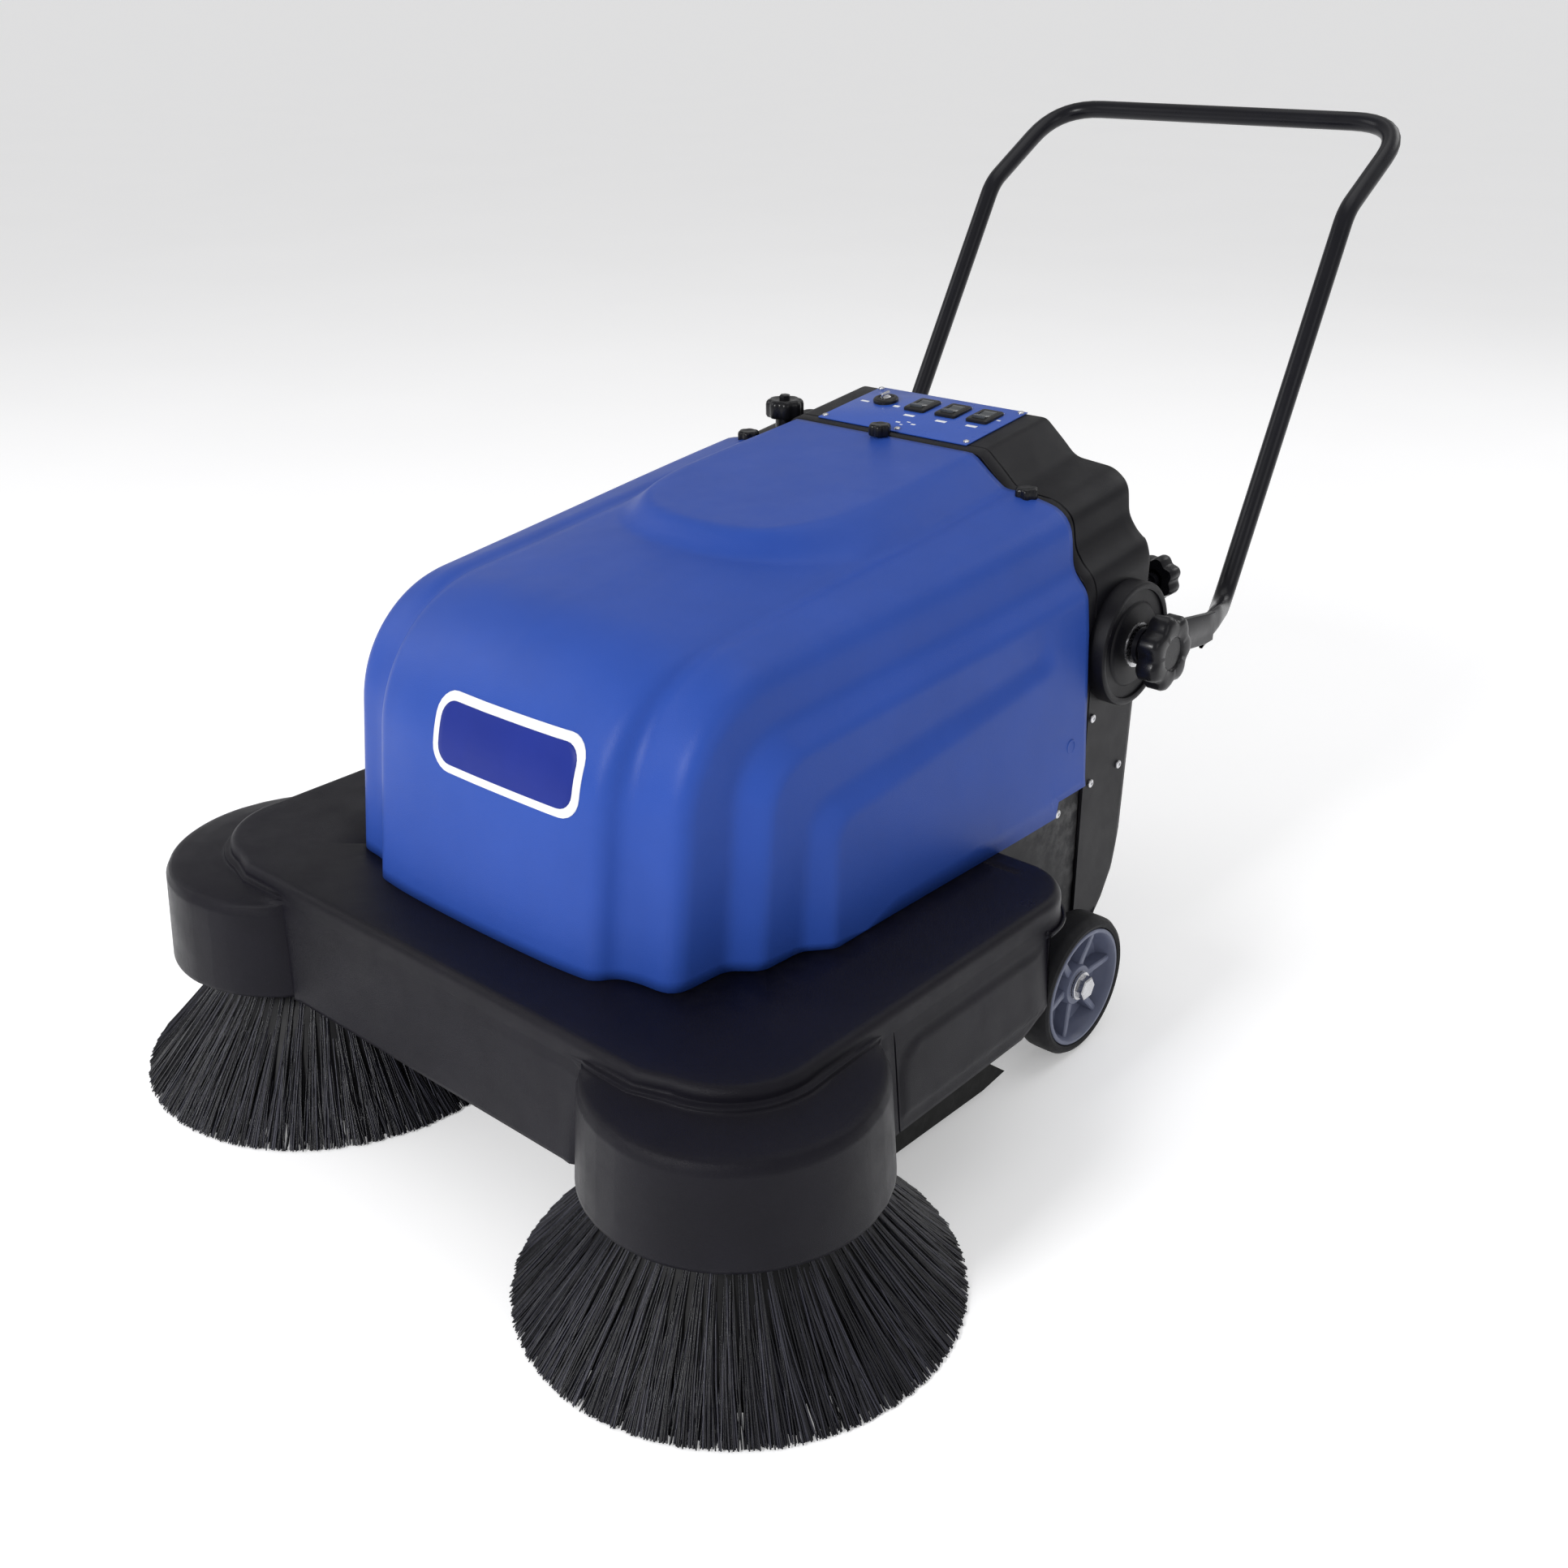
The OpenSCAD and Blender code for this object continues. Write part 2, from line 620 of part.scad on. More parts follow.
module pivot_bolts() at_datum() color("silver") both() {
  rod_x(plate_x - 6, pivot_y, pivot_z, pin_r, 70);
  translate([plate_x - 8, pivot_y, pivot_z]) rotate([0, 90, 0]) cylinder(r = 11, h = 8, $fn = 6);
  difference() {
    rod_x(disc_x, pivot_y, pivot_z, 24, 2);
    rod_x(disc_x - 1, pivot_y, pivot_z, pin_r + fit, 4);
  }
}

module clamp_knob() translate([pivot_x + tab_t + 2, pivot_y, pivot_z]) rotate([0, 90, 0]) difference() {
  union() {
    cylinder(r = 17, h = 8);
    translate([0, 0, 8]) star_knob(41, 24);
  }
  translate([0, 0, -1]) cylinder(r = pin_r + fit, h = 26);
}
module clamp_knob_right() at_datum() color([0.05, 0.05, 0.06]) clamp_knob();
module clamp_knob_left() at_datum() color([0.05, 0.05, 0.06]) mirror([1, 0, 0]) clamp_knob();

// The grip section rises from the kink to the cross bar in one tilted plane
grip_len = norm([bar_y - kink[1], bar_z - kink[2]]);
grip_tilt = atan2(bar_z - kink[2], bar_y - kink[1]);

module handle_arm(r) {
  bar(crease, kink, r);
  // the bends are a little fuller than the tube
  translate(crease) sphere(r = r + 0.3);
  translate(kink) sphere(r = r + 0.3);
  translate([0, kink[1], kink[2]]) rotate([grip_tilt, 0, 0]) {
    translate([kink[0], 0, 0]) rotate([-90, 0, 0]) cylinder(r = r, h = grip_len - corner_r);
    translate([kink[0] - corner_r, grip_len - corner_r, 0]) rotate_extrude(angle = 90) translate([corner_r, 0]) circle(r = r);
    translate([0, grip_len, 0]) rotate([0, 90, 0]) cylinder(r = r, h = kink[0] - corner_r);
  }
}

// Flattened end of the tube with the pivot hole
module handle_tab() difference() {
  union() {
    rod_x(pivot_x, pivot_y, pivot_z, 20, tab_t);
    plate_yz(pivot_x, tab_t, [
      [pivot_y, pivot_z - 19], [pivot_y, pivot_z + 19], [790, 421], [790, 384]
    ]);
    hull() {
      translate([pivot_x, 789, 384]) cube([tab_t, 1, 37]);
      translate([crease[0] - 4, crease[1] - 1, crease[2] - 15]) cube([8, 2, 32]);
    }
  }
  rod_x(pivot_x - 1, pivot_y, pivot_z, pin_r + fit, tab_t + 2);
}

module handle_tube() at_datum() color([0.05, 0.05, 0.06]) difference() {
  both() {
    handle_arm(tube_d / 2);
    handle_tab();
  }
  both() handle_arm(tube_d / 2 - tube_wall);
  // vent hole under the cross bar
  translate([0, bar_y, bar_z - tube_d]) cylinder(r = 2, h = tube_d);
}

// ---------------------------------------------------------------- dust bin
bin_outer = [
  [458, 84], [606, 84], [630, 92], [650, 114], [668, 143], [676, 180], [683, bin_top + 4],
  [664, bin_top + 4], [664, bin_top], [458, bin_top]
];
bin_inner = [[462, 88], [605, 88], [628, 96], [647, 117], [664, 145], [672, 181], [678, 400], [462, 400]];

module dust_bin() at_datum() color([0.08, 0.08, 0.09]) {
  difference() {
    union() {
      plate_yz(-bin_w, 2 * bin_w, bin_outer);
      // wider rear panel, which closes the console's mouth
      intersection() {
        plate_yz(-bin_w - 16, 2 * (bin_w + 16), bin_outer);
        translate([-300, 666, 60]) cube([600, 120, 400]);
      }
      // flanges on the frame's rails
      translate([-bin_w - 12, 462, 296.3]) cube([2 * (bin_w + 12), 194, 4]);
    }
    plate_yz(-bin_w + 3, 2 * (bin_w - 3), bin_inner);
    // mouth towards the roller
    translate([-bin_w + 12, 440, 106]) cube([2 * (bin_w - 12), 60, 88]);
  }
  for (x = [-60, 44]) translate([x, 676, 262]) cube([16, 44, 16]);
}

module bin_pull() at_datum() color([0.05, 0.05, 0.05]) rod_x(-44, 712, 270, 7, 88);

chassis_frame();
deck_cover();
console_shell();
control_panel();
cover_screws();
key_switch();
rocker_bezels();
battery();
battery_strap();
battery_cables();
controller_box();
fan_housing();
filter_box();
filter_element();
roller_tunnel();
roller_bearings();
roller_motor();
drive_belt();
side_motor_left();
side_motor_right();
side_skirts();
cross_skirts();
axle_bolts();
pivot_disc_left();
pivot_disc_right();
pivot_bolts();
caster_plate();
hood();
hood_knob_left();
hood_knob_centre();
hood_knob_right();
brush_disc_left();
brush_disc_right();
bristles_left();
bristles_right();
roller_core();
roller_bristles();
motor_pulley();
shaker_knob();
rear_knob();
tyre_left();
tyre_right();
wheel_hub_left();
wheel_hub_right();
wheel_bearings_left();
wheel_bearings_right();
caster_fork();
caster_wheel();
handle_tube();
clamp_knob_left();
clamp_knob_right();
switch_key();
rocker_1();
rocker_2();
rocker_3();
dust_bin();
bin_pull();
fan_impeller();
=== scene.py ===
"""Looks of a walk-behind sweeper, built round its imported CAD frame."""

import json
import random
from math import atan2, ceil, copysign, cos, hypot, pi, sin, tan
from math import radians as rad

import bmesh
import bpy
import numpy as np
from mathutils import Matrix, Vector
from mathutils.bvhtree import BVHTree


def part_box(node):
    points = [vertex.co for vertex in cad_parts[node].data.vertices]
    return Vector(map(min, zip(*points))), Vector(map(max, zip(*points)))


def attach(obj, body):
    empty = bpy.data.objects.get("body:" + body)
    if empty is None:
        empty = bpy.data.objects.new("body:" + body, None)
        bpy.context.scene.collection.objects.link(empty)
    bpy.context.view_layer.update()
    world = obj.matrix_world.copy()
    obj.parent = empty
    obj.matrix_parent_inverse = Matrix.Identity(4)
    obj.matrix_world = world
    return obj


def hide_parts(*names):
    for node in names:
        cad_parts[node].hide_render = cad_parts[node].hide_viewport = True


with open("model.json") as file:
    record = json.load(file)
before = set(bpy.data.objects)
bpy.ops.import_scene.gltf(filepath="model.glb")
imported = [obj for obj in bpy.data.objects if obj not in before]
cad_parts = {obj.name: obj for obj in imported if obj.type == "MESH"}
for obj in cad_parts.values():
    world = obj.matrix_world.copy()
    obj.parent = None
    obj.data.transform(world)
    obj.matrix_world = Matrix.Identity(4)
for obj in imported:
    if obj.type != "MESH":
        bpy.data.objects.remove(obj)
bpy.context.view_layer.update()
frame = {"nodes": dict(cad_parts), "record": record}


def centre_of(node):
    low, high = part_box(node)
    return (low + high) / 2


# Dimensions below are in millimetres, with y measured from the side-brush axes.
DATUM_Y = centre_of("brush_disc_right").y
MM = 0.001
WALL = 4.0
SIDES = ((-1, "left"), (1, "right"))


def P(x, y, z):
    """A point in the frame's metres."""
    return Vector((x * MM, y * MM + DATUM_Y, z * MM))


def lerp(a, b, t):
    return a + (b - a) * t


def smooth(t):
    t = min(max(t, 0.0), 1.0)
    return t * t * (3 - 2 * t)


# ---------------- materials
class Nodes:
    """A material's node tree, with short calls for the nodes that are used here."""

    def __init__(self, name):
        self.mat = bpy.data.materials.new(name)
        self.mat.use_nodes = True
        self.tree = self.mat.node_tree
        self.tree.nodes.clear()
        self.out = self.tree.nodes.new("ShaderNodeOutputMaterial")
        self.shader = self.tree.nodes.new("ShaderNodeBsdfPrincipled")
        self.link(self.shader.outputs[0], self.out.inputs[0])
        self.coords = self.tree.nodes.new("ShaderNodeTexCoord").outputs["Object"]

    def link(self, a, b):
        self.tree.links.new(a, b)

    def noise(self, scale, detail=3.0, rough=0.55, stretch=None):
        n = self.tree.nodes.new("ShaderNodeTexNoise")
        n.inputs["Scale"].default_value = scale
        n.inputs["Detail"].default_value = detail
        n.inputs["Roughness"].default_value = rough
        source = self.coords
        if stretch:
            m = self.tree.nodes.new("ShaderNodeMapping")
            m.inputs["Scale"].default_value = stretch
            self.link(source, m.inputs["Vector"])
            source = m.outputs[0]
        self.link(source, n.inputs["Vector"])
        return n.outputs[0]

    def ramp(self, value, low, high, a=0.0, b=1.0):
        n = self.tree.nodes.new("ShaderNodeMapRange")
        for socket, v in (("From Min", low), ("From Max", high), ("To Min", a), ("To Max", b)):
            n.inputs[socket].default_value = v
        self.link(value, n.inputs["Value"])
        return n.outputs[0]

    def mix(self, factor, a, b):
        n = self.tree.nodes.new("ShaderNodeMix")
        n.data_type = "RGBA"
        self.link(factor, n.inputs["Factor"])
        for socket, v in ((n.inputs[6], a), (n.inputs[7], b)):
            if isinstance(v, tuple):
                socket.default_value = (*v, 1.0)
            else:
                self.link(v, socket)
        return n.outputs[2]

    def bump(self, height, distance, strength=1.0, normal=None):
        n = self.tree.nodes.new("ShaderNodeBump")
        n.inputs["Strength"].default_value = strength
        n.inputs["Distance"].default_value = distance
        self.link(height, n.inputs["Height"])
        if normal is not None:
            self.link(normal, n.inputs["Normal"])
        return n.outputs[0]

    def edges(self, low=0.51, high=0.57):
        g = self.tree.nodes.new("ShaderNodeNewGeometry")
        return self.ramp(g.outputs["Pointiness"], low, high)

    def island_highlight(self):
        return self.tree.nodes.new("ShaderNodeNewGeometry").outputs["Random Per Island"]

    def set(self, name, value):
        self.shader.inputs[name].default_value = value


def tint(c, k):
    return tuple(min(v * k, 1.0) for v in c)


DARK_WEAR = (0.05, 0.05, 0.055)
PLASTIC_IOR = 1.36


def finish(name, colour, rough, *, metal=0.0, vary=0.2, vary_scale=9.0, rough_vary=0.07,
           grain=0.0, grain_scale=900.0, wave=0.0, wave_scale=30.0, coat=0.0, coat_rough=0.15,
           specular=0.5, wear=0.0, wear_colour=(0.3, 0.3, 0.3), stretch=None, island_highlight=0.0, fleck=0.0):
    """A moulded, painted or metal surface: mottled colour, uneven gloss, fine grain and edge wear.

    The per-island share lightens some of the mesh's loose parts as painted highlight streaks, and fleck
    adds small light specks.
    """
    n = Nodes(name)
    mottle = n.noise(vary_scale, 4.0, 0.6, stretch)
    base = n.mix(n.ramp(mottle, 0.3, 0.7), tint(colour, 1 - vary), tint(colour, 1 + vary))
    # painted highlight: a random share of loose parts, such as single strands, is lightened into
    # streaks of light
    if island_highlight:
        base = n.mix(n.ramp(n.island_highlight(), 0.5, 1.0, 0.0, island_highlight), base, tint(colour, 8.0))
    if fleck:
        specks = n.noise(grain_scale * 0.55, 1.0, 0.5)
        base = n.mix(n.ramp(specks, 0.66, 0.78, 0.0, fleck), base, tint(colour, 4.0))
    if wear:
        rub = n.tree.nodes.new("ShaderNodeMath")
        rub.operation = "MULTIPLY"
        n.link(n.edges(), rub.inputs[0])
        n.link(n.ramp(n.noise(60.0, 5.0, 0.7), 0.42, 0.68, 0.0, wear), rub.inputs[1])
        base = n.mix(rub.outputs[0], base, wear_colour)
    n.link(base, n.shader.inputs["Base Color"])
    gloss = n.noise(vary_scale * 3.1, 3.0, 0.6, stretch)
    gloss = n.ramp(gloss, 0.25, 0.75, rough - rough_vary, rough + rough_vary)
    n.link(gloss, n.shader.inputs["Roughness"])
    normal = None
    if wave:
        normal = n.bump(n.noise(wave_scale, 2.0, 0.5), wave)
    if grain:
        normal = n.bump(n.noise(grain_scale, 2.0, 0.6, stretch), grain, 1.0, normal)
    if normal is not None:
        n.link(normal, n.shader.inputs["Normal"])
    n.set("Metallic", metal)
    n.set("Specular IOR Level", specular)
    if not metal:
        n.set("IOR", PLASTIC_IOR)
    if coat:
        n.set("Coat Weight", coat)
        n.set("Coat Roughness", coat_rough)
    return n.mat


MAT = {
    # black mouldings
    "body": finish("textured_black", (0.0056, 0.0050, 0.0090), 0.34, specular=0.24, grain=0.00034,
        grain_scale=1500.0, wave=0.0005, wave_scale=14.0, fleck=0.12, wear=0.1,
        wear_colour=DARK_WEAR),
    "console": finish("textured_console", (0.0040, 0.0038, 0.0060), 0.38, specular=0.3,
        grain=0.0002, grain_scale=1700.0, wave=0.0004, wave_scale=16.0, wear=0.08,
        wear_colour=DARK_WEAR),
    "knob": finish("knob_black", (0.006, 0.006, 0.008), 0.28, grain=0.00006, grain_scale=1300.0,
        specular=0.35, coat=0.1, wear=0.06, wear_colour=DARK_WEAR),
    "switch": finish("switch_black", (0.010, 0.010, 0.011), 0.34, grain=0.00005,
        grain_scale=1800.0),
    "rocker": finish("smoked_grey", (0.060, 0.066, 0.072), 0.16, vary=0.25, vary_scale=120.0,
        grain=0.00003, coat=0.6, coat_rough=0.08),
    "disc": finish("disc_black", (0.007, 0.007, 0.008), 0.5, specular=0.3, grain=0.0001),
    # blue hood and panel, with what is printed on them
    "hood": finish("royal_blue", (0.025, 0.074, 0.365), 0.34, vary=0.05, grain=0.00022,
        grain_scale=1300.0, wave=0.0005, wave_scale=9.0, specular=0.28, rough_vary=0.04),
    "panel": finish("panel_blue", (0.025, 0.085, 0.42), 0.3, vary=0.08, grain=0.00005,
        grain_scale=2400.0, coat=0.3),
    "mark": finish("print_white", (0.80, 0.82, 0.84), 0.45, vary=0.08, grain=0.00002,
        grain_scale=1500.0),
    "badge": finish("badge_blue", (0.012, 0.026, 0.22), 0.4, vary=0.08, grain=0.00003,
        grain_scale=1800.0, specular=0.25),
    # painted and bare metal
    "frame": finish("frame_paint", (0.009, 0.009, 0.011), 0.42, specular=0.3, grain=0.0001,
        wear=0.4),
    "handle": finish("handle_black", (0.006, 0.006, 0.009), 0.3, vary=0.18, grain=0.00005,
        grain_scale=800.0, specular=0.3, coat=0.12, coat_rough=0.2, wear=0.05,
        wear_colour=DARK_WEAR),
    "galvanised": finish("galvanised", (0.42, 0.43, 0.45), 0.42, metal=0.9, vary_scale=60.0,
        rough_vary=0.12, grain=0.00008, grain_scale=500.0),
    "steel": finish("bright_steel", (0.66, 0.66, 0.68), 0.26, metal=1.0, vary=0.1,
        vary_scale=90.0, rough_vary=0.09, grain=0.00003, grain_scale=1500.0),
    "motor": finish("motor_grey", (0.10, 0.10, 0.11), 0.42, metal=0.4, grain=0.00012,
        grain_scale=600.0, wear=0.4),
    "controller": finish("controller_case", (0.06, 0.08, 0.085), 0.4, metal=0.6, vary=0.15,
        grain=0.00006, grain_scale=700.0),
    # bristles, wheels and rubber
    # some side-brush and roller strands are lightened as painted highlight streaks
    "bristle": finish("nylon_black", (0.008, 0.008, 0.011), 0.27, vary=0.3, vary_scale=40.0,
        island_highlight=0.6, grain=0.00004, specular=0.65),
    "tyre": finish("tyre_black", (0.008, 0.008, 0.010), 0.6, specular=0.35, vary=0.3,
        vary_scale=40.0, grain=0.00016, wear=0.25, wear_colour=(0.04, 0.04, 0.042)),
    "hub": finish("hub_grey", (0.13, 0.145, 0.215), 0.36, vary=0.1, vary_scale=25.0,
        grain=0.00008, grain_scale=1000.0, wear=0.25, wear_colour=(0.3, 0.32, 0.4)),
    "rubber": finish("sheet_rubber", (0.007, 0.007, 0.007), 0.66, specular=0.3, vary=0.3,
        vary_scale=30.0, grain=0.0002, grain_scale=700.0),
    "caster": finish("caster_rubber", (0.06, 0.06, 0.065), 0.6, vary=0.3, vary_scale=30.0,
        grain=0.0002, grain_scale=700.0),
    "belt": finish("belt_black", (0.012, 0.012, 0.012), 0.6, grain=0.0002, grain_scale=500.0),
    # what is inside
    "battery": finish("battery_case", (0.03, 0.03, 0.034), 0.5, grain=0.0001, wear=0.3),
    "cable": finish("cable_red", (0.30, 0.022, 0.022), 0.45, vary_scale=40.0, grain=0.00006,
        grain_scale=800.0),
    "filter": finish("filter_paper", (0.55, 0.47, 0.33), 0.85, vary=0.25, vary_scale=25.0,
        grain=0.0004, grain_scale=300.0, stretch=(1.0, 9.0, 1.0)),
}
SLOT_MAT = {
    "body_black": "body", "hood_blue": "hood", "panel_blue": "panel", "frame_paint": "frame",
    "tunnel_steel": "galvanised", "bright_steel": "steel", "knob_black": "knob",
    "handle_black": "handle", "bristle_black": "bristle", "disc_black": "disc",
    "tyre_black": "tyre", "hub_grey": "hub", "caster_rubber": "caster", "skirt_rubber": "rubber",
    "switch_black": "switch", "rocker_grey": "rocker", "battery_case": "battery",
    "cable_red": "cable", "controller_case": "controller", "motor_grey": "motor",
    "filter_paper": "filter", "belt_black": "belt",
}
NODE_SLOT = {s["node"]: s["material_slot"] for s in frame["record"]["subparts"]}
for name, node in frame["nodes"].items():
    for material_slot in node.material_slots:
        material_slot.material = MAT[SLOT_MAT[NODE_SLOT[name]]]


# ---------------- mesh helpers
class Shape:
    """Vertices and faces in metres, gathered from grids and loops."""

    def __init__(self):
        self.v, self.f = [], []

    def grid(self, rows, close_u=False, close_v=False, flip=False):
        """Quads over rows of points. close_u joins each row's ends, close_v the first and last row."""
        start, nu, nv = len(self.v), len(rows[0]), len(rows)
        for row in rows:
            self.v.extend(row)
        for j in range(nv if close_v else nv - 1):
            for i in range(nu if close_u else nu - 1):
                a = start + j * nu + i
                b = start + j * nu + (i + 1) % nu
                c = start + (j + 1) % nv * nu + (i + 1) % nu
                d = start + (j + 1) % nv * nu + i
                self.f.append((d, c, b, a) if flip else (a, b, c, d))
        return self

    def cap(self, ring, flip=False):
        start = len(self.v)
        self.v.extend(ring)
        face = tuple(range(start, start + len(ring)))
        self.f.append(face[::-1] if flip else face)
        return self

    def lathe(self, profile, place, segments=48, radius=None):
        """Turns [r, h] pairs about place's Z axis. radius(angle, r) may reshape each ring."""
        rows = []
        for r, h in profile:
            row = []
            for i in range(segments):
                a = 2 * pi * i / segments
                rr = radius(a, r) if radius else r
                row.append(place @ Vector((rr * MM * cos(a), rr * MM * sin(a), h * MM)))
            rows.append(row)
        return self.grid(rows, close_u=True)

    def box(self, low, high, place=Matrix.Identity(4), r=1.0, steps=2):
        """A rounded box, in millimetres, set by place."""
        (x0, y0, z0), (x1, y1, z1) = low, high
        r = min(r, (x1 - x0) / 2.01, (y1 - y0) / 2.01, (z1 - z0) / 2.01)
        quarter = np.linspace(0, pi / 2, steps + 1)
        levels = [(z0 + r - r * cos(t), r - r * sin(t)) for t in quarter]
        levels += [(z1 - r + r * sin(t), r - r * cos(t)) for t in quarter]
        rings = []
        for z, inset in levels:
            outline = rounded_rect(x0 + inset, y0 + inset, x1 - inset, y1 - inset,
                                   max(r - inset, 0.02), steps)
            rings.append([place @ (Vector((x, y, z)) * MM) for x, y in outline])
        self.grid(rings, close_u=True)
        self.cap(rings[0], flip=True)
        return self.cap(rings[-1])

    def add(self, other):
        """Takes in another Shape's faces."""
        start = len(self.v)
        self.v += other.v
        self.f += [tuple(i + start for i in face) for face in other.f]
        return self


def rounded_rect(x0, y0, x1, y1, r, steps=3):
    """Points of a rectangle with round corners."""
    points = []
    corners = ((x1 - r, y0 + r, -90), (x1 - r, y1 - r, 0), (x0 + r, y1 - r, 90), (x0 + r, y0 + r, 180))
    for cx, cy, a0 in corners:
        for k in range(steps + 1):
            a = rad(a0 + 90 * k / steps)
            points.append((cx + r * cos(a), cy + r * sin(a)))
    return points


def build(name, shape, body, slot, material=None, replaces=(), sharp=38, clean=True):
    """Turns a Shape into an object that rides on a body.

    sharp is the angle of a hard edge, and clean joins doubled points and turns faces outwards.
    """
    mesh = bpy.data.meshes.new(name)
    mesh.from_pydata([tuple(v) for v in shape.v], [], shape.f)
    if clean:
        bm = bmesh.new()
        bm.from_mesh(mesh)
        bmesh.ops.remove_doubles(bm, verts=bm.verts, dist=1e-5)
        bmesh.ops.dissolve_degenerate(bm, edges=bm.edges, dist=1e-6)
        bmesh.ops.recalc_face_normals(bm, faces=bm.faces)
        bm.to_mesh(mesh)
        bm.free()
    mesh.polygons.foreach_set("use_smooth", [True] * len(mesh.polygons))
    if sharp:
        mesh.set_sharp_from_angle(angle=rad(sharp))
    obj = bpy.data.objects.new(name, mesh)
    bpy.context.scene.collection.objects.link(obj)
    mesh.materials.append(MAT[material or SLOT_MAT[slot]])
    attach(obj, body)
    if replaces:
        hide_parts(*replaces)
    return obj


def thicken(obj):
    """Gives a moulded skin its wall, inwards."""
    m = obj.modifiers.new("solidify", "SOLIDIFY")
    m.thickness = WALL * MM
    m.offset = -1.0


def along(axis, origin):
    """A place whose Z axis points along axis, with its origin there."""
    q = Vector(axis).to_track_quat("Z", "Y")
    return Matrix.Translation(origin) @ q.to_matrix().to_4x4()


def fillet_line(points, radii, steps=5):
    """Rounds a 2-D line's inner corners, with the same number of points at each corner."""
    out = [Vector(points[0])]
    for k in range(1, len(points) - 1):
        a, b, c = Vector(points[k - 1]), Vector(points[k]), Vector(points[k + 1])
        d = min(radii[k], 0.48 * (b - a).length, 0.48 * (c - b).length)
        p, q = b + (a - b).normalized() * d, b + (c - b).normalized() * d
        for s in range(steps + 1):
            t = s / steps
            out.append(p * (1 - t) ** 2 + b * 2 * t * (1 - t) + q * t * t)
    out.append(Vector(points[-1]))
    return out


def divide(points, step):
    """Adds points so that no stretch is longer than step."""
    out = [points[0]]
    for a, b in zip(points, points[1:]):
        n = max(1, int(ceil((b - a).length / step)))
        out += [a.lerp(b, k / n) for k in range(1, n + 1)]
    return out


# ---------------- hood
HOOD_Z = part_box("hood")[0].z / MM
HOOD_BACK = (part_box("hood")[1].y - DATUM_Y) / MM
NOTCH_Y, NOTCH_Z = 513, 281
FRONT_STEPS, CORNER_STEPS, ROOF_STEPS = 14, 22, 62

# One line of the hood's shape each, from the middle outwards:
# x at the front and rear, y of the foot, z at the rear, corner radius, lean, roof slope, rounding in x
HOOD_LINES = [
    (0, 0, -34, 597, 142, 7.0, 6.2, 0),
    (50, 50, -33.5, 596, 142, 7.0, 6.2, 40),
    (105, 105, -32, 593, 142, 7.0, 6.2, 45),
    (150, 150, -27, 588, 141, 7.0, 6.2, 17),
    (163, 165, -8, 581.5, 142, 6.8, 6.1, 9),
    (181, 182, -2, 582.5, 136, 6.5, 5.9, 16),
    (222, 243, 2, 571, 120, 6.5, 5.8, 38),
    (227, 249, 63, 514, 64, 5.5, 5.1, 10),
    (252, 268.5, 84, 492, 52, 5.0, 5.0, 9),
    (255.5, 267, 131, 452, 38, 4.5, 6.6, 8),
    (276, 277, 156, 436, 28, 4.5, 7.6, 9),
]


def hood_line(spec):
    """Points from the hood's foot over the corner to its rear edge."""
    x0, x1, y0, z1, r, lean, slope, _ = spec
    a, b = rad(lean), rad(slope)
    ta, tb = tan(a), tan(b)
    # centre of the corner's arc, which touches both the leaning front and the sloping roof
    rise = z1 - HOOD_BACK * tb - r / cos(b) - HOOD_Z
    cy = (y0 + ta * rise + r / cos(a)) / (1 - ta * tb)
    cz = z1 + (cy - HOOD_BACK) * tb - r / cos(b)
    p = (cy - r * cos(a), cz + r * sin(a))
    q = (cy - r * sin(b), cz + r * cos(b))
    yz = []
    for k in range(FRONT_STEPS):
        yz.append((lerp(y0, p[0], k / FRONT_STEPS), lerp(HOOD_Z, p[1], k / FRONT_STEPS)))
    for k in range(CORNER_STEPS):
        t = lerp(pi - a, pi / 2 + b, k / CORNER_STEPS)
        yz.append((cy + r * cos(t), cz + r * sin(t)))
    for k in range(ROOF_STEPS + 1):
        yz.append((lerp(q[0], HOOD_BACK, k / ROOF_STEPS), lerp(q[1], z1, k / ROOF_STEPS)))
    return [Vector((lerp(x0, x1, smooth((y - y0) / (HOOD_BACK - y0))), y, z)) for y, z in yz]


def hood_wall_x(y, z):
    """Half width of the hood's plain side wall."""
    return lerp(276.5, 282.5, smooth((y - 150) / 380)) - (z - HOOD_Z) * 0.052


def plateau(x, y):
    """How much of the raised plateau reaches (x, y), and its height there."""
    foot_w = 178 if y < 430 else lerp(178, 163, (y - 430) / 135)
    u = max(0.0, (400 - y) / 155)
    foot = hypot(abs(x) / foot_w, u)
    v = max(0.0, (430 - y) / 155)
    crest = ((abs(x) / 117) ** 3 + v**3) ** (1 / 3)
    if foot >= 1:
        return 0.0, 0.0
    share = 1.0 if crest <= 1 else 1 - smooth((crest - 1) / ((crest - 1) + (1 - foot)))
    return share, 612 + (y - HOOD_BACK) * 0.0966


INNER_R = 14  # of the arc where the outer line turns into the side wall
GONE_FROM, GONE_OVER = 484, 26  # y where the outer two lines die out into the wall


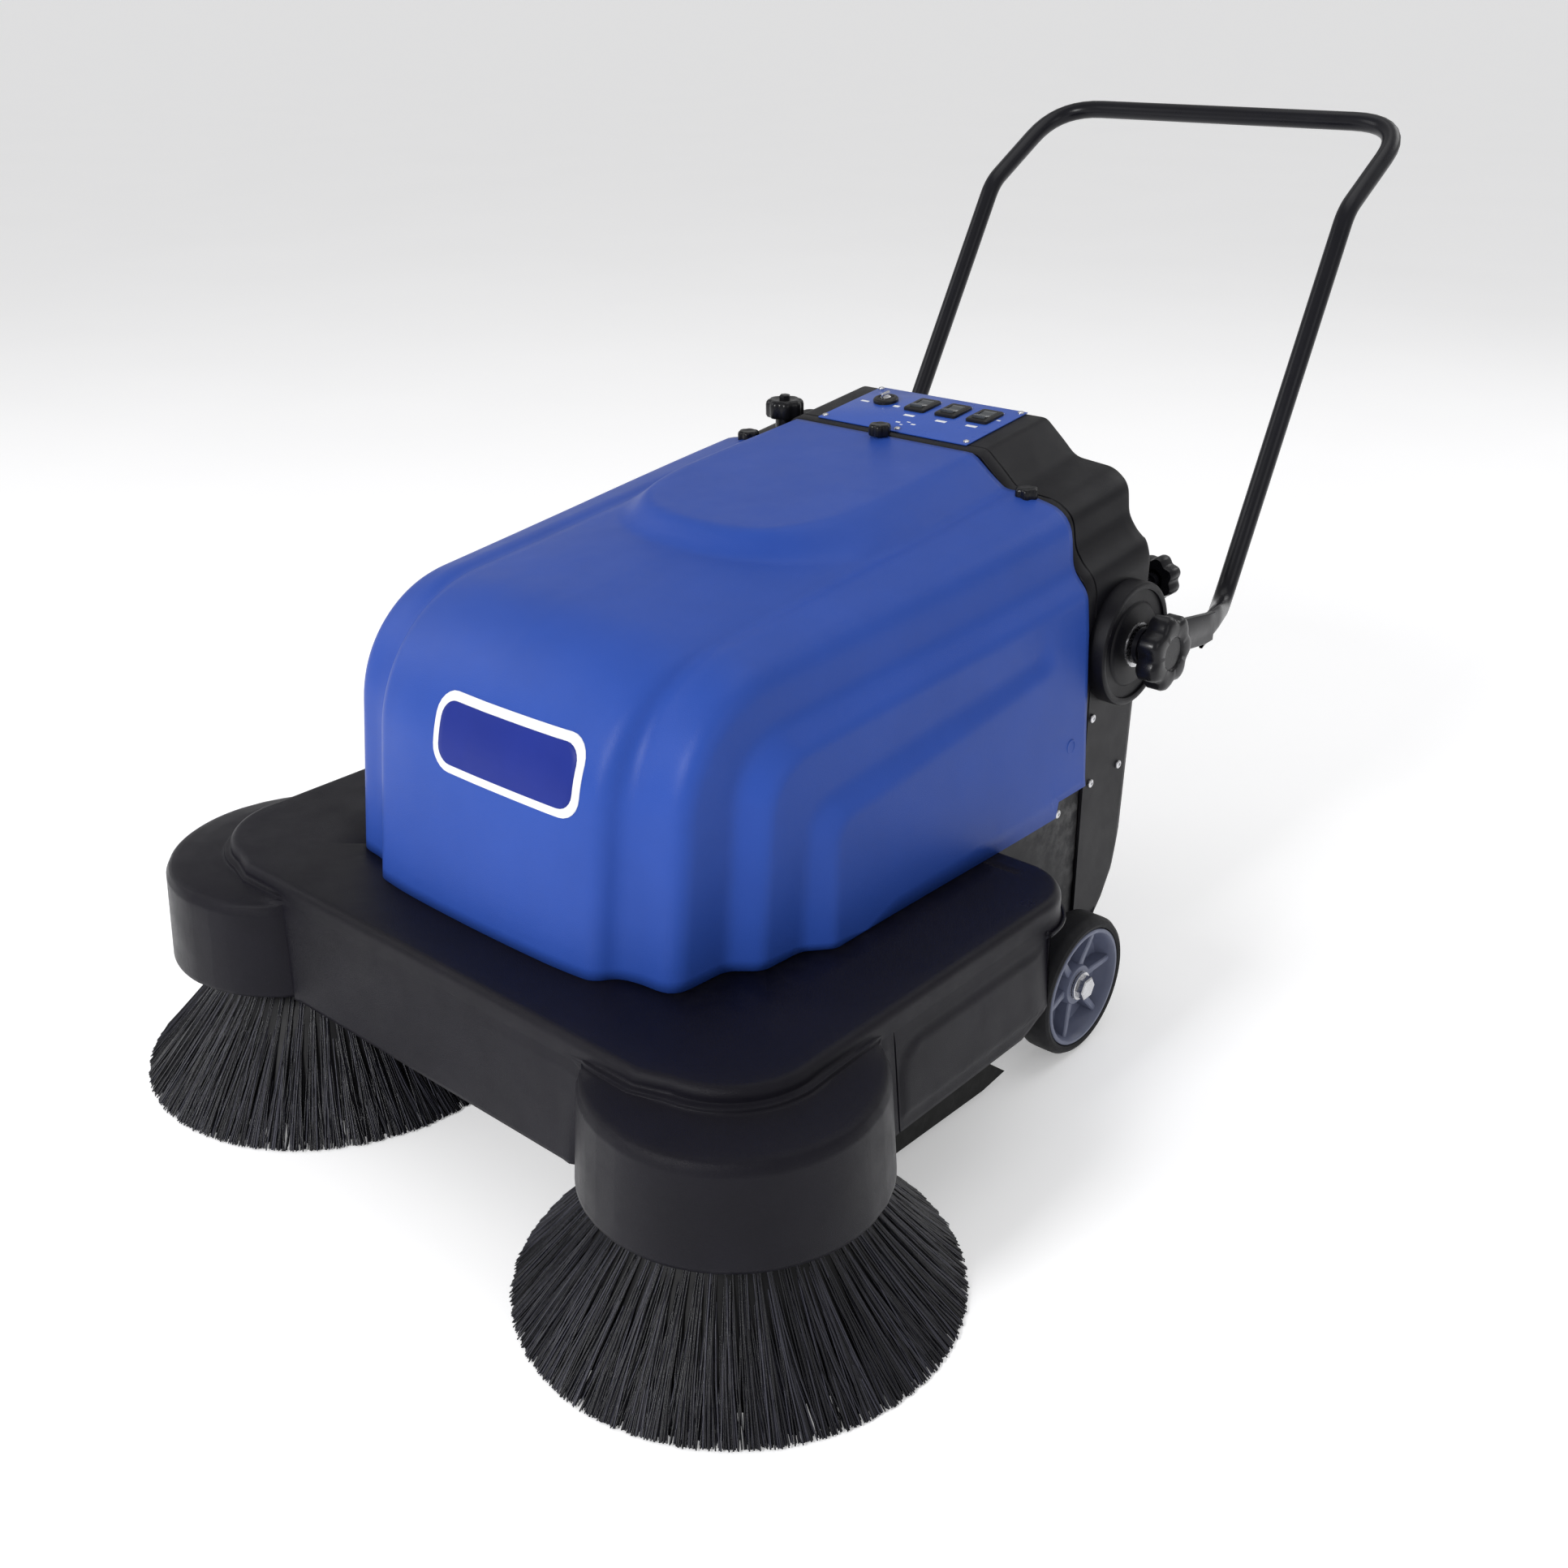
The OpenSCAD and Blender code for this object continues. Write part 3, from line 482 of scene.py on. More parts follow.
def hood_keys(lines, j):
    """The lines' points at step j, then the side wall down to the foot."""
    keys = [line[j].copy() for line in lines]
    edge = keys[-1]
    gone = smooth((edge.y - GONE_FROM) / GONE_OVER)
    for k, share in ((-2, gone), (-1, 1.0)):
        keys[k].x = lerp(keys[k].x, hood_wall_x(keys[k].y, keys[k].z), share)
    turn = pi / 2 * min(max((j - FRONT_STEPS) / CORNER_STEPS, 0), 1)
    y = min(edge.y + INNER_R * cos(turn), HOOD_BACK)
    z = max(edge.z - INNER_R * sin(turn), HOOD_Z)
    inner = Vector((hood_wall_x(y, z), y, z))
    foot_y = lerp(lines[-1][0].y + 45, HOOD_BACK, j / (len(lines[0]) - 1))
    foot = Vector((hood_wall_x(foot_y, HOOD_Z), foot_y, HOOD_Z))
    wall = [inner.lerp(foot, t) for t in (0.33, 0.66)]
    for m in wall:
        m.x = hood_wall_x(m.y, m.z)
    return [*keys, inner, *wall, foot]


def hood_sections():
    """Right half of the hood as rows of points, from its foot at the front to its rear edge."""
    lines = [hood_line(s) for s in HOOD_LINES]
    rounding = [s[-1] for s in HOOD_LINES] + [0.1, 0.1, 0.1, 0]
    sections = [fillet_line(hood_keys(lines, j), rounding, 6) for j in range(len(lines[0]))]
    # even, fine steps across the middle, so that the plateau has points to stand on
    counts = [1] * (len(sections[0]) - 1)
    for section in sections:
        for k, (a, b) in enumerate(zip(section, section[1:])):
            length = (b - a).length
            n = 5 if a.x < 178 and length > 20 else 2 if length > 8 else 1
            counts[k] = max(counts[k], n)
    rows = []
    for j, section in enumerate(sections):
        row = [section[0]]
        for a, b, n in zip(section, section[1:], counts):
            row += [a.lerp(b, t / n) for t in range(1, n + 1)]
        if j > FRONT_STEPS:
            raise_plateau(row)
        rows.append(row)
    return rows


def raise_plateau(row):
    for p in row:
        if abs(p.x) < 190 and p.y > 200:
            share, z = plateau(p.x, p.y)
            if share and z > p.z:
                p.z = lerp(p.z, z, share)


def hood_rows():
    """Full width rows, left to right."""
    rows = []
    for row in hood_sections():
        left = [P(-p.x, p.y, p.z) for p in reversed(row[1:])]
        rows.append(left + [P(p.x, p.y, p.z) for p in row])
    return rows


def notch(row):
    """The hood's foot steps up over the frame at the rear corners."""
    step_y, step_z = DATUM_Y + NOTCH_Y * MM, NOTCH_Z * MM
    for p in row:
        if p.y > step_y and p.z < step_z:
            p.z = step_z
    return row


hood_grid = [notch(r) for r in hood_rows()]
hood_shape = Shape().grid(hood_grid)
hood = build("hood_shell", hood_shape, "hood_body", "hood_blue", replaces=["hood"], sharp=50)
thicken(hood)

# a plain badge with a light rim, laid on the hood's front
surface = BVHTree.FromPolygons([tuple(v) for v in hood_shape.v], hood_shape.f)


def on_hood(x, z, lift):
    hit, normal, _, _ = surface.ray_cast(P(x, -400, z), Vector((0, 1, 0)))
    if normal.y > 0:
        normal = -normal
    return hit + normal * lift * MM


def patch(x0, z0, x1, z1, r, lift, steps=14):
    """A rounded patch that follows the hood: rings shrink towards the middle line."""
    shape, rings = Shape(), []
    cx, cz = (x0 + x1) / 2, (z0 + z1) / 2
    outline = [Vector(p) for p in rounded_rect(x0, z0, x1, z1, r, 6)]
    outline = divide(outline + [outline[0]], 8)[:-1]
    for inset, h in ((0.0, lift - 1.6), (0.0, lift - 0.4), (0.6, lift)):
        k = 1 - inset * 2 / (x1 - x0)
        rings.append([on_hood(cx + (p.x - cx) * k, cz + (p.y - cz) * k, h) for p in outline])
    for s in range(1, steps):
        k = 1 - s / steps
        rings.append([on_hood(cx + (p.x - cx) * k, cz + (p.y - cz) * k, lift) for p in outline])
    shape.grid(rings, close_u=True)
    return shape.cap(rings[-1])


# x and z of two corners, corner radius, height above the hood
build("badge_rim", patch(-62, 405, 128, 478, 22, 0.9), "hood_body", "hood_blue", "mark")
build("badge_field", patch(-54, 413, 120, 470, 16, 1.5), "hood_body", "hood_blue", "badge")

# a dimple near each rear corner of the hood
DIMPLE = [(0.2, -1.0), (5.0, -0.6), (6.2, 0.6), (7.4, 0.7), (8.2, 0.0)]
DIMPLE_Y, DIMPLE_Z = 536, 335
for s, side in SIDES:
    wall = P(s * (hood_wall_x(DIMPLE_Y, DIMPLE_Z) - 0.2), DIMPLE_Y, DIMPLE_Z)
    dimple = Shape().lathe(DIMPLE, along((s, 0, 0), wall), 32)
    build(f"hood_dimple_{side}", dimple, "hood_body", "hood_blue")

# ---------------- deck
DECK_Z, DECK_FOOT = 263.0, 141.0
DECK_FRONT, DECK_SIDE, DECK_REAR = -98, 378, 414
LIP = 9.0
WALL_STEPS = 26
POD_X, POD_Y, POD_R = 309, -17, 129
RISE_FROM, ARCH_FROM, ARCH_FOOT, ARCH_TOP = 303, 345, 157.0, 233.0
SEAM_Y = 109

# The pod's top, downwards: share of the pod's reach, share of the ledge under the lip, z
POD_TOP = [(0, 0.0, 252.6), (0, 0.04, 250.6), (0, 0.25, 249.4), (0, 0.6, 249.2), (0, 0.9, 248.6),
           (0, 1.0, 247.2), (0, 1.0, 246.2), (0.0, 1.12, 245.2), (0.0, 1.5, 244.8),
           (0.45, 0.6, 243.4), (0.84, 0.0, 240.8), (0.93, 0.0, 239.6), (0.98, 0.0, 237.4),
           (1.0, 0.0, 234.4)]
POD_WALL_Z = 231.0


def arc(cx, cy, r, a0, a1, n):
    """Points on an arc from a0 to a1 degrees."""
    angles = [rad(lerp(a0, a1, k / n)) for k in range(n + 1)]
    return [(cx + r * cos(a), cy + r * sin(a)) for a in angles]


def deck_half():
    """Right half of the deck's outer edge, from the middle of the front to the middle of the rear."""
    front = (0, 110, 150, 180, 200, 215, 235, 255, 275)
    # close steps along the side at the seam and at the wheel arch
    side = (20, 40, 60, 80, 92, 97, 101, 105, 107, 108, 109, 110, 111, 113, 117, 125, 135, 142,
            149, 157, 166, 176, 188, 200, 225, 250, 275, 300, 325, 338, 341, 344, 347, 350)
    line = [(x, DECK_FRONT) for x in front]
    line += arc(293, -2, 86, -82, -4, 26)
    line += [(DECK_SIDE, y) for y in side]
    line += arc(DECK_SIDE - 60, DECK_REAR - 60, 60, 0, 90, 12)
    line += [(290, DECK_REAR), (272, DECK_REAR)]
    return divide([Vector(p) for p in line], 16)


def wheel_arch(x, y):
    """Height of the deck's lower edge, which rises over the wheel."""
    if y <= RISE_FROM:
        return DECK_FOOT
    if x >= 366 and y > ARCH_FROM - 0.5:
        return ARCH_TOP
    if y > ARCH_FROM:
        return lerp(ARCH_FOOT, ARCH_TOP, smooth((y - ARCH_FROM) / 3))
    return lerp(DECK_FOOT, ARCH_FOOT, (y - RISE_FROM) / (ARCH_FROM - RISE_FROM))


def emboss(y, z):
    """Height of the raised panel on the deck's side wall."""
    top, low, front, rear, r = 224.0, 152.0, 112.0, 340.0, 34.0
    dx = max(front + r - y, 0)
    dz = max(z - (top - r), 0)
    corner = r - hypot(dx, dz) if dx and dz else 99
    edge = min(corner, y - front, top - z, z - low, rear - y)
    return 2.4 * smooth(edge / 6)


def pod_share(x, y):
    """1 inside the corner where the side-brush pod stands out, 0 along plain walls."""
    return smooth((x - 199) / 26) * smooth((99 - y) / 22)


def deck_column(p, out):
    """The deck's moulding at one point of its edge: top face, lip, pod and wall down to the foot."""
    column = [(p - out * lerp(34, LIP, t), DECK_Z) for t in (0.0, 0.5)]
    for k in range(6):
        a = rad(90 * k / 5)
        column.append((p - out * LIP * (1 - sin(a)), DECK_Z - LIP * (1 - cos(a))))
    pod = pod_share(p.x, p.y)
    away = Vector((p.x - POD_X, p.y - POD_Y))
    reach = max(0.0, POD_R - away.length)
    away.normalize()
    stand = away * reach * pod
    ledge = min(7.0, reach * 0.5) * pod
    for share, extra, z in POD_TOP:
        if pod < 1:
            z = lerp(251 - len(column) * 0.5, z, pod)
        column.append((p + stand * share + away * ledge * extra, z))
    foot = wheel_arch(p.x, p.y)
    draft = 11 * (1 - pod) + 8 * pod
    plain_side = out.x > 0.99 and not pod and p.x > DECK_SIDE - 1
    for k in range(WALL_STEPS + 1):
        z = lerp(POD_WALL_Z, foot, k / WALL_STEPS)
        push = draft * (DECK_Z - z) / 122 - (0.9 if not pod else 0)
        if plain_side:
            push += emboss(p.y, z)
            if abs(p.y - SEAM_Y) < 0.6:
                push -= 3.0
        column.append((p + stand + (away if pod > 0.5 else out) * push, z))
    return [P(q.x, q.y, z) for q, z in column]


def deck_wall():
    half = deck_half()
    columns = []
    for i, p in enumerate(half):
        t = (half[min(i + 1, len(half) - 1)] - half[max(i - 1, 0)]).normalized()
        columns.append(deck_column(p, Vector((t.y, -t.x)) if i else Vector((0, -1))))
    return columns


def mirror_x(points):
    return [Vector((-p.x, p.y, p.z)) for p in points]


columns = deck_wall()
deck_shape = Shape().grid([mirror_x(c) for c in reversed(columns[1:])] + columns, flip=True)


def deck_opening(x, y):
    """Where the deck's top face ends under the hood, for a point of the outer ring."""
    if x < 200:
        return P(min(x, 205), 20, DECK_Z)
    if y < 60:
        t = smooth((atan2(y + 2, x - 293) + pi / 2) / (pi / 2))
        return P(lerp(205, 240, t), lerp(20, 100, t), DECK_Z)
    inner_y = max(lerp(100, y, smooth((y - 60) / 40)), 100)
    return P(lerp(240, 263, smooth((y - 60) / 105)), inner_y, DECK_Z)


def deck_top():
    """Flat top between the hood's opening and the outer ring."""
    last_y = max(c[0].y for c in columns)
    outer = [c[0] for c in columns if c[0].y < last_y - 0.0002]
    inner = [deck_opening(c.x / MM, (c.y - DATUM_Y) / MM) for c in outer]
    rows = [[a.lerp(b, t) for a, b in zip(outer, inner)] for t in (0.0, 0.5, 1.0)]
    return Shape().grid(rows).grid([mirror_x(row) for row in rows], flip=True)


deck_shape.add(deck_top())
deck = build("deck_moulding", deck_shape, "chassis", "body_black",
             replaces=["deck_cover"], sharp=42)
thicken(deck)

# ---------------- console
PANEL_Y, PANEL_Z, PANEL_TILT = 643.5, 621, rad(7)
ON_PANEL = Matrix.Translation(P(0, PANEL_Y, PANEL_Z)) @ Matrix.Rotation(PANEL_TILT, 4, "X")

# Right half of the console's section, as x and depth below the panel, with each corner's radius
SECTION = [(0, 0), (126, 0), (150, -20), (166, -35), (214, -39), (234, -52), (239, -84),
           (250, -99), (262, -108), (268, -124), (268, -620)]
SECTION_R = [0, 5, 12, 10, 9, 12, 8, 8, 12, 14, 0]
# The rear wall's outline downwards, as z and y
REAR = [(640, 695), (470, 695), (340, 683), (180, 676), (143, 668), (114, 650), (92, 628), (86, 602)]
FRONT_Y = 567
GROOVE_Y, GROOVE = (583.0, 584.0), 2.2
MOUTH_TOP = 343
MOUTH_HALF_W = 262.5


def rear_y(z):
    """y of the rear wall at a height."""
    if z >= REAR[1][0]:
        return 695.0
    for (z1, y1), (z0, y0) in zip(REAR[1:], REAR[2:]):
        if z >= z0:
            return lerp(y0, y1, (z - z0) / (z1 - z0))
    return 602.0


def console_z(w, y):
    """Height of a section point (depth w below the panel plane) at y."""
    return PANEL_Z + (y - PANEL_Y) * tan(PANEL_TILT) + w / cos(PANEL_TILT)


def shrunk(x, w, inset):
    """A section point moved in towards the section's middle."""
    if abs(x) >= 260:
        return x - copysign(inset, x), w
    x -= copysign(inset * min(1.0, abs(w) / 60 + 0.15), x) if abs(x) > 120 else 0
    return x, w - inset * (0.95 if abs(x) < 234 else 0.5)


def front_row(full, y, inset):
    row = []
    for p in full:
        x, w = shrunk(p.x, p.y, inset)
        row.append(P(x, FRONT_Y + y, max(console_z(w, FRONT_Y + y), 282.0)))
    return row


def middle_row(full, y):
    row = []
    floor = 282.0 if y < 584 else 88.0
    for p in full:
        x, w = shrunk(p.x, p.y, GROOVE if y in GROOVE_Y else 0.0)
        z = console_z(w, y)
        row.append(P(x, min(y, rear_y(z) - 10), max(z, floor)))
    return row


def rear_row(full, share):
    """The rear edge's rounding, from its start at share 0 to the rear wall at 1."""
    row = []
    for p in full:
        angle = share * pi / 2
        r = lerp(10.0, 4.0, smooth((console_z(p.y, 690) - 540) / 60))
        x, w = shrunk(p.x, p.y, r * (1 - cos(angle)))
        y = rear_y(console_z(w, 690)) - r + r * sin(angle)
        row.append(P(x, y, max(console_z(w, y), 88.0)))
    return row


def console_shape():
    half = divide(fillet_line(SECTION, SECTION_R, 5), 14)
    full = [Vector((-p.x, p.y)) for p in reversed(half[1:])] + half
    rows = [front_row(full, y, inset) for y, inset in ((0.0, 3.5), (0.9, 1.0), (3.0, 0.0))]
    rows += [middle_row(full, y) for y in (580, 582.2, *GROOVE_Y, 584.8, 587, 600, 620, 640, 660, 672)]
    rows += [rear_row(full, share) for share in (0.0, 0.25, 0.5, 0.75, 1.0)]
    shape = Shape().grid(rows, flip=True)
    # rear wall, open where the dust bin fills the mouth
    last = rows[-1]
    across = []
    for a, b in zip(last[:len(last) // 2 + 1], reversed(last)):
        across.append([a.lerp(b, t) for t in (0, 0.04, 0.25, 0.5, 0.75, 0.96, 1)])
    shape.grid([row for row in across if row[0].z / MM > MOUTH_TOP])
    beside = [row for row in across if row[0].z / MM <= MOUTH_TOP + 3]
    for end, order in ((0, 1), (-1, -1)):
        strip = []
        for row in beside:
            edge = row[end]
            inner = Vector((copysign(MOUTH_HALF_W * MM, edge.x), edge.y, edge.z))
            strip.append([edge, inner][::order])
        shape.grid(strip)
    return shape


console = build("console_moulding", console_shape(), "chassis", "body_black", "console",
                ["console_shell"], sharp=40)
thicken(console)

# ---------------- control panel
PLATE_T = 1.5
SWITCH_X, SWITCH_Y = (-14, 28, 70), 14

plate = Shape().box((-101, -64, 0), (101, 51, PLATE_T), ON_PANEL, 0.6)
build("panel_plate", plate, "chassis", "panel_blue", replaces=["control_panel"])

# plain light blocks where the panel is printed: middle x and y, width, height
PRINTS = [(-10, -16, 14, 5), (33, -16, 14, 5), (72, -14, 14, 5), (-86, 2, 11, 4), (-42, 3, 8, 5),
          (-8, -39, 6, 3), (3, -34, 5, 2), (12, -38, 6, 3), (0, -44, 4, 2), (88, 14, 5, 3)]
labels = Shape()
for x, y, w, h in PRINTS:
    labels.box((x - w / 2, y - h / 2, 1.2), (x + w / 2, y + h / 2, 1.62), ON_PANEL, 0.2, 1)
for x in SWITCH_X:
    labels.box((x - 11, 35, 1.2), (x + 11, 36.2, 1.6), ON_PANEL, 0.2, 1)
build("panel_marks", labels, "chassis", "panel_blue", "mark")


def on_panel(x, y, z):
    return ON_PANEL @ (Vector((x, y, z)) * MM)


def rocker_frame(x):
    """A switch's square frame, with its opening."""
    outer = rounded_rect(x - 14, SWITCH_Y - 18, x + 14, SWITCH_Y + 18, 3, 3)
    inner = rounded_rect(x - 9, SWITCH_Y - 13.5, x + 9, SWITCH_Y + 13.5, 1.6, 3)
    stack = [(outer, 1.4, 0), (outer, 4.2, 0), (outer, 5.2, 1.0), (outer, 5.5, 2.0),
             (inner, 5.5, -0.8), (inner, 4.9, 0), (inner, -4, 0)]
    rings = []
    for line, h, inset in stack:
        rings.append([on_panel(px - copysign(inset, px - x),
                               py - copysign(inset, py - SWITCH_Y), h) for px, py in line])
    return Shape().grid(rings, close_u=True)


def rocker_key(x):
    """A rocker with a dished, ribbed face that leans to its off side."""
    half, ribs = 12.6, 24
    rows = []
    for k in range(ribs + 1):
        v = lerp(-half, half, k / ribs)
        face = 7.2 - 2.0 * (1 - abs(v) / half) - (0.9 if abs(v) > 12 else 0) - 0.12 * v
        rib = 0.35 if k % 2 and 3 < k < 21 else 0.0
        rows.append([on_panel(x + u, SWITCH_Y + v, h) for u, h in
                     ((-8.2, -3), (-8.2, face - 1.0), (-7.4, face - rib), (-3, face - rib),
                      (3, face - rib), (7.4, face - rib), (8.2, face - 1.0), (8.2, -3))])
    return Shape().grid(rows).cap(rows[0], True).cap(rows[-1], False)


for i, x in enumerate(SWITCH_X, 1):
    build(f"rocker_frame_{i}", rocker_frame(x), "chassis", "switch_black",
          replaces=["rocker_bezels"])
    build(f"rocker_key_{i}", rocker_key(x), f"switch_{i}", "rocker_grey",
          replaces=[f"rocker_{i}"], sharp=30)

KEY_AT = ON_PANEL @ Matrix.Translation(Vector((-64, 12, 0)) * MM)
LOCK = [(8.6, -20), (8.6, 1.4), (14.3, 1.4), (14.3, 4.4), (13.0, 5.9), (10.4, 6.5), (9.6, 6.2),
        (9.0, 5.2), (6.3, 5.2), (6.3, -8)]
BARREL = [(0.1, -8), (5.9, -8), (5.9, 6.6), (5.3, 7.3), (0.1, 7.3)]
build("key_surround", Shape().lathe(LOCK, KEY_AT, 48), "chassis", "switch_black",
      replaces=["key_switch"])
key = Shape().lathe(BARREL, KEY_AT, 40).box((-1.3, -6.8, 7.0), (1.3, 6.8, 12.0), KEY_AT, 0.6)
build("key_blade", key, "key", "bright_steel", replaces=["switch_key"])


def screw(shape, place, r, h, segments=28):
    """Domed head with a cross recess."""
    dome = [(r * 0.98, 0), (r, h * 0.35), (r * 0.9, h * 0.72), (r * 0.66, h * 0.93), (r * 0.5, h)]
    shape.lathe(dome, place, segments)

    def cross(a, rr):
        return rr if rr >= r * 0.5 else rr * (0.62 + 0.38 * abs(cos(2 * a)) ** 2)
    recess = [(r * 0.5, h), (r * 0.42, h), (r * 0.30, h * 0.45), (0.02, h * 0.4)]
    shape.lathe(recess, place, segments, cross)


screws = Shape()
for u, v in ((-96, -57), (-96, 45), (96, -57), (96, 45), (5, -57)):
    screw(screws, ON_PANEL @ Matrix.Translation(Vector((u, v, PLATE_T)) * MM), 3.5, 2)
for s, _ in SIDES:
    for x, y, z in ((268, 592, 346), (268, 655, 271), (268, 598, 268), (264, 541, 251)):
        screw(screws, along((s, 0, 0), P(s * x, y, z)), 5, 3)
build("cover_screw_heads", screws, "chassis", "bright_steel", replaces=["cover_screws"])


# ---------------- knobs
def lobed(shape, place, r, h, lobes=8, depth=0.13, hollow=0.0, segments=96):
    """A star knob: lobes round the rim, rounded over at the top, dished if hollow."""
    def rim(a, rr):
        if rr <= r * 0.45:
            return rr
        return rr * (1 - depth * (0.5 - 0.5 * cos(lobes * a)) ** 1.4 * min(1.0, rr / r))
    profile = [(r * 0.5, 0.0), (r * 0.94, 0.0), (r, h * 0.12), (r, h * 0.72), (r * 0.96, h * 0.87),
               (r * 0.88, h * 0.96), (r * 0.78, h)]
    if hollow:
        floor = h * (1 - hollow)
        profile += [(r * 0.5, h), (r * 0.44, h * 0.96), (r * 0.42, floor), (0.02, floor)]
    else:
        profile += [(r * 0.6, h * 0.99), (r * 0.45, h * 0.95), (0.02, h * 0.93)]
    shape.lathe(profile, place, segments, rim)


def hood_knob(name):
    low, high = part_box(f"hood_knob_{name}")
    middle = (low + high) / 2
    at = Matrix.Translation(Vector((middle.x, middle.y, high.z - 12 * MM)))
    star = Shape()
    lobed(star, at, 12.5, 12, 6, 0.16)
    star.lathe([(4.2, 0), (4.2, -1.2), (2.9, -1.2), (2.9, -29.5), (0.02, -29.8)], at, 20)
    build(f"hood_knob_{name}_star", star, f"knob_{name}", "knob_black",
          replaces=[f"hood_knob_{name}"])


def shaker_knob():
    """Round knob on the far shoulder, with a nut on top and its rod down to the filter."""
    at = Matrix.Translation(P(-178, 612, 0))
    rod_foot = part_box("shaker_knob")[0].z / MM + 1
    star = Shape()
    lobed(star, at @ Matrix.Translation((0, 0, 598 * MM)), 22, 20, 8, 0.1)
    star.lathe([(10.8, 585.5), (10.8, 598.5), (7, 598.5)], at, 32)
    star.lathe([(6.5, 616), (6.5, 621.8), (5.2, 622.9), (0.02, 622.9)], at, 6)
    star.lathe([(5.5, 590), (5.5, rod_foot), (0.02, rod_foot)], at, 24)
    build("shaker_star", star, "shaker", "knob_black", replaces=["shaker_knob"])


def rear_knob():
    """Star knob behind the console, with its stud."""
    knob_y = 736
    at = along((0, 1, 0), P(246, knob_y, 458))
    stud = (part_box("rear_knob")[0].y - DATUM_Y) / MM - knob_y + 0.5
    star = Shape()
    lobed(star, at, 26, 23.8, 7, 0.16)
    star.lathe([(9, 0), (9, -8), (4.8, -8), (4.8, stud), (0.02, stud)], at, 28)
    build("rear_star", star, "rear_lock", "knob_black", replaces=["rear_knob"])


for name in ("left", "centre", "right"):
    hood_knob(name)
shaker_knob()
rear_knob()


# ---------------- handle
PIVOT_Y, PIVOT_Z = 638, 421
TUBE_R = 11.0


def squircle(angle, power):
    """Unit point on a circle that power flattens towards a box."""
    c, s = cos(angle), sin(angle)
    return copysign(abs(c) ** power, c), copysign(abs(s) ** power, s)


def sweep(shape, path, size, segments=28):
    """A tube along path. size(point) gives half width, half height and squareness there."""
    rows = []
    side = Vector((1, 0, 0))
    for i, p in enumerate(path):
        t = (path[min(i + 1, len(path) - 1)] - path[max(i - 1, 0)]).normalized()
        side = (side - t * side.dot(t)).normalized()
        up = t.cross(side).normalized()
        half_w, half_h, power = size(p)
        row = []
        for k in range(segments):
            u, v = squircle(2 * pi * k / segments, power)
            row.append(p + side * u * half_w * MM + up * v * half_h * MM)
        rows.append(row)
    return shape.grid(rows, close_u=True)


def bend(points, radii, steps=8):
    """A 3-D line with rounded bends."""
    out = [points[0]]
    for a, b, c, r in zip(points, points[1:], points[2:], radii):
        half = (a - b).angle(c - b) / 2
        d = min(r * MM / tan(half), 0.49 * (a - b).length, 0.49 * (c - b).length)
        p, q = b + (a - b).normalized() * d, b + (c - b).normalized() * d
        for k in range(steps + 1):
            t = k / steps
            out.append(p * (1 - t) ** 2 + b * 2 * t * (1 - t) + q * t * t)
    out.append(points[-1])
    return out


def tube_size(p):
    """The tube is pressed flat towards its ends."""
    t = smooth(((p.y - DATUM_Y) / MM - 785) / 80)
    return lerp(3.2, TUBE_R, t), lerp(18.0, TUBE_R, t), lerp(0.55, 1.0, t)


def pivot_tab(s):
    """Flat end of the tube, round about the pivot bolt."""
    edge = arc(PIVOT_Y, PIVOT_Z, 20, 80, 280, 25)
    edge += [(775, 384.5), (792, 385), (792, 418), (775, 420)]
    middle_y, middle_z = 705, 405
    rings = []
    for x, inset in ((292.2, 0.9), (292.8, 0), (298.2, 0), (298.8, 0.9)):
        ring = []
        for y, z in edge:
            ring.append(P(s * x, y - copysign(min(inset, abs(y - middle_y)), y - middle_y),
                          z - copysign(inset, z - middle_z)))
        rings.append(ring)
    return Shape().grid(rings, close_u=True).cap(rings[0], True).cap(rings[-1])


def handle():
    right = bend([P(295.5, 770, 398), P(284, 822, 401), P(257, 888, 392), P(248, 1118, 810),
                  P(246, 1267, 896), P(0, 1267, 896)], [60, 45, 60, 70], 9)
    right = divide(right, 20 * MM)
    path = right[:-1] + mirror_x(reversed(right))
    tube = sweep(Shape(), path, tube_size, 32)
    for s, _ in SIDES:
        tube.add(pivot_tab(s))
    build("handle_bar", tube, "handle", "handle_black", replaces=["handle_tube"], sharp=40)


DISC_FACE = [(66.5, 0.2), (66.8, 16.5), (66.0, 18.6), (64.0, 19.6), (61.0, 19.6), (59.0, 18.8),
             (58.4, 16.4), (46, 16.2), (44.6, 17.6), (42, 18.4), (28, 18.6), (25, 19.8),
             (6.5, 19.8), (6.5, 2)]

handle()
for s, side in SIDES:
    at = along((s, 0, 0), P(s * 309, PIVOT_Y, PIVOT_Z))
    clamp = Shape()
    lobed(clamp, at, 41, 24, 7, 0.15, 0.1, 112)
    clamp.lathe([(0.02, -8), (16.8, -8), (16.8, 0), (20, 0.4)], at, 40)
    build(f"clamp_knob_{side}_star", clamp, f"clamp_{side}", "knob_black",
          replaces=[f"clamp_knob_{side}"])
    disc = Shape().lathe(DISC_FACE, along((s, 0, 0), P(s * 268, PIVOT_Y, PIVOT_Z)), 96)
    build(f"pivot_disc_{side}_face", disc, "chassis", "body_black", "console",
          [f"pivot_disc_{side}"])


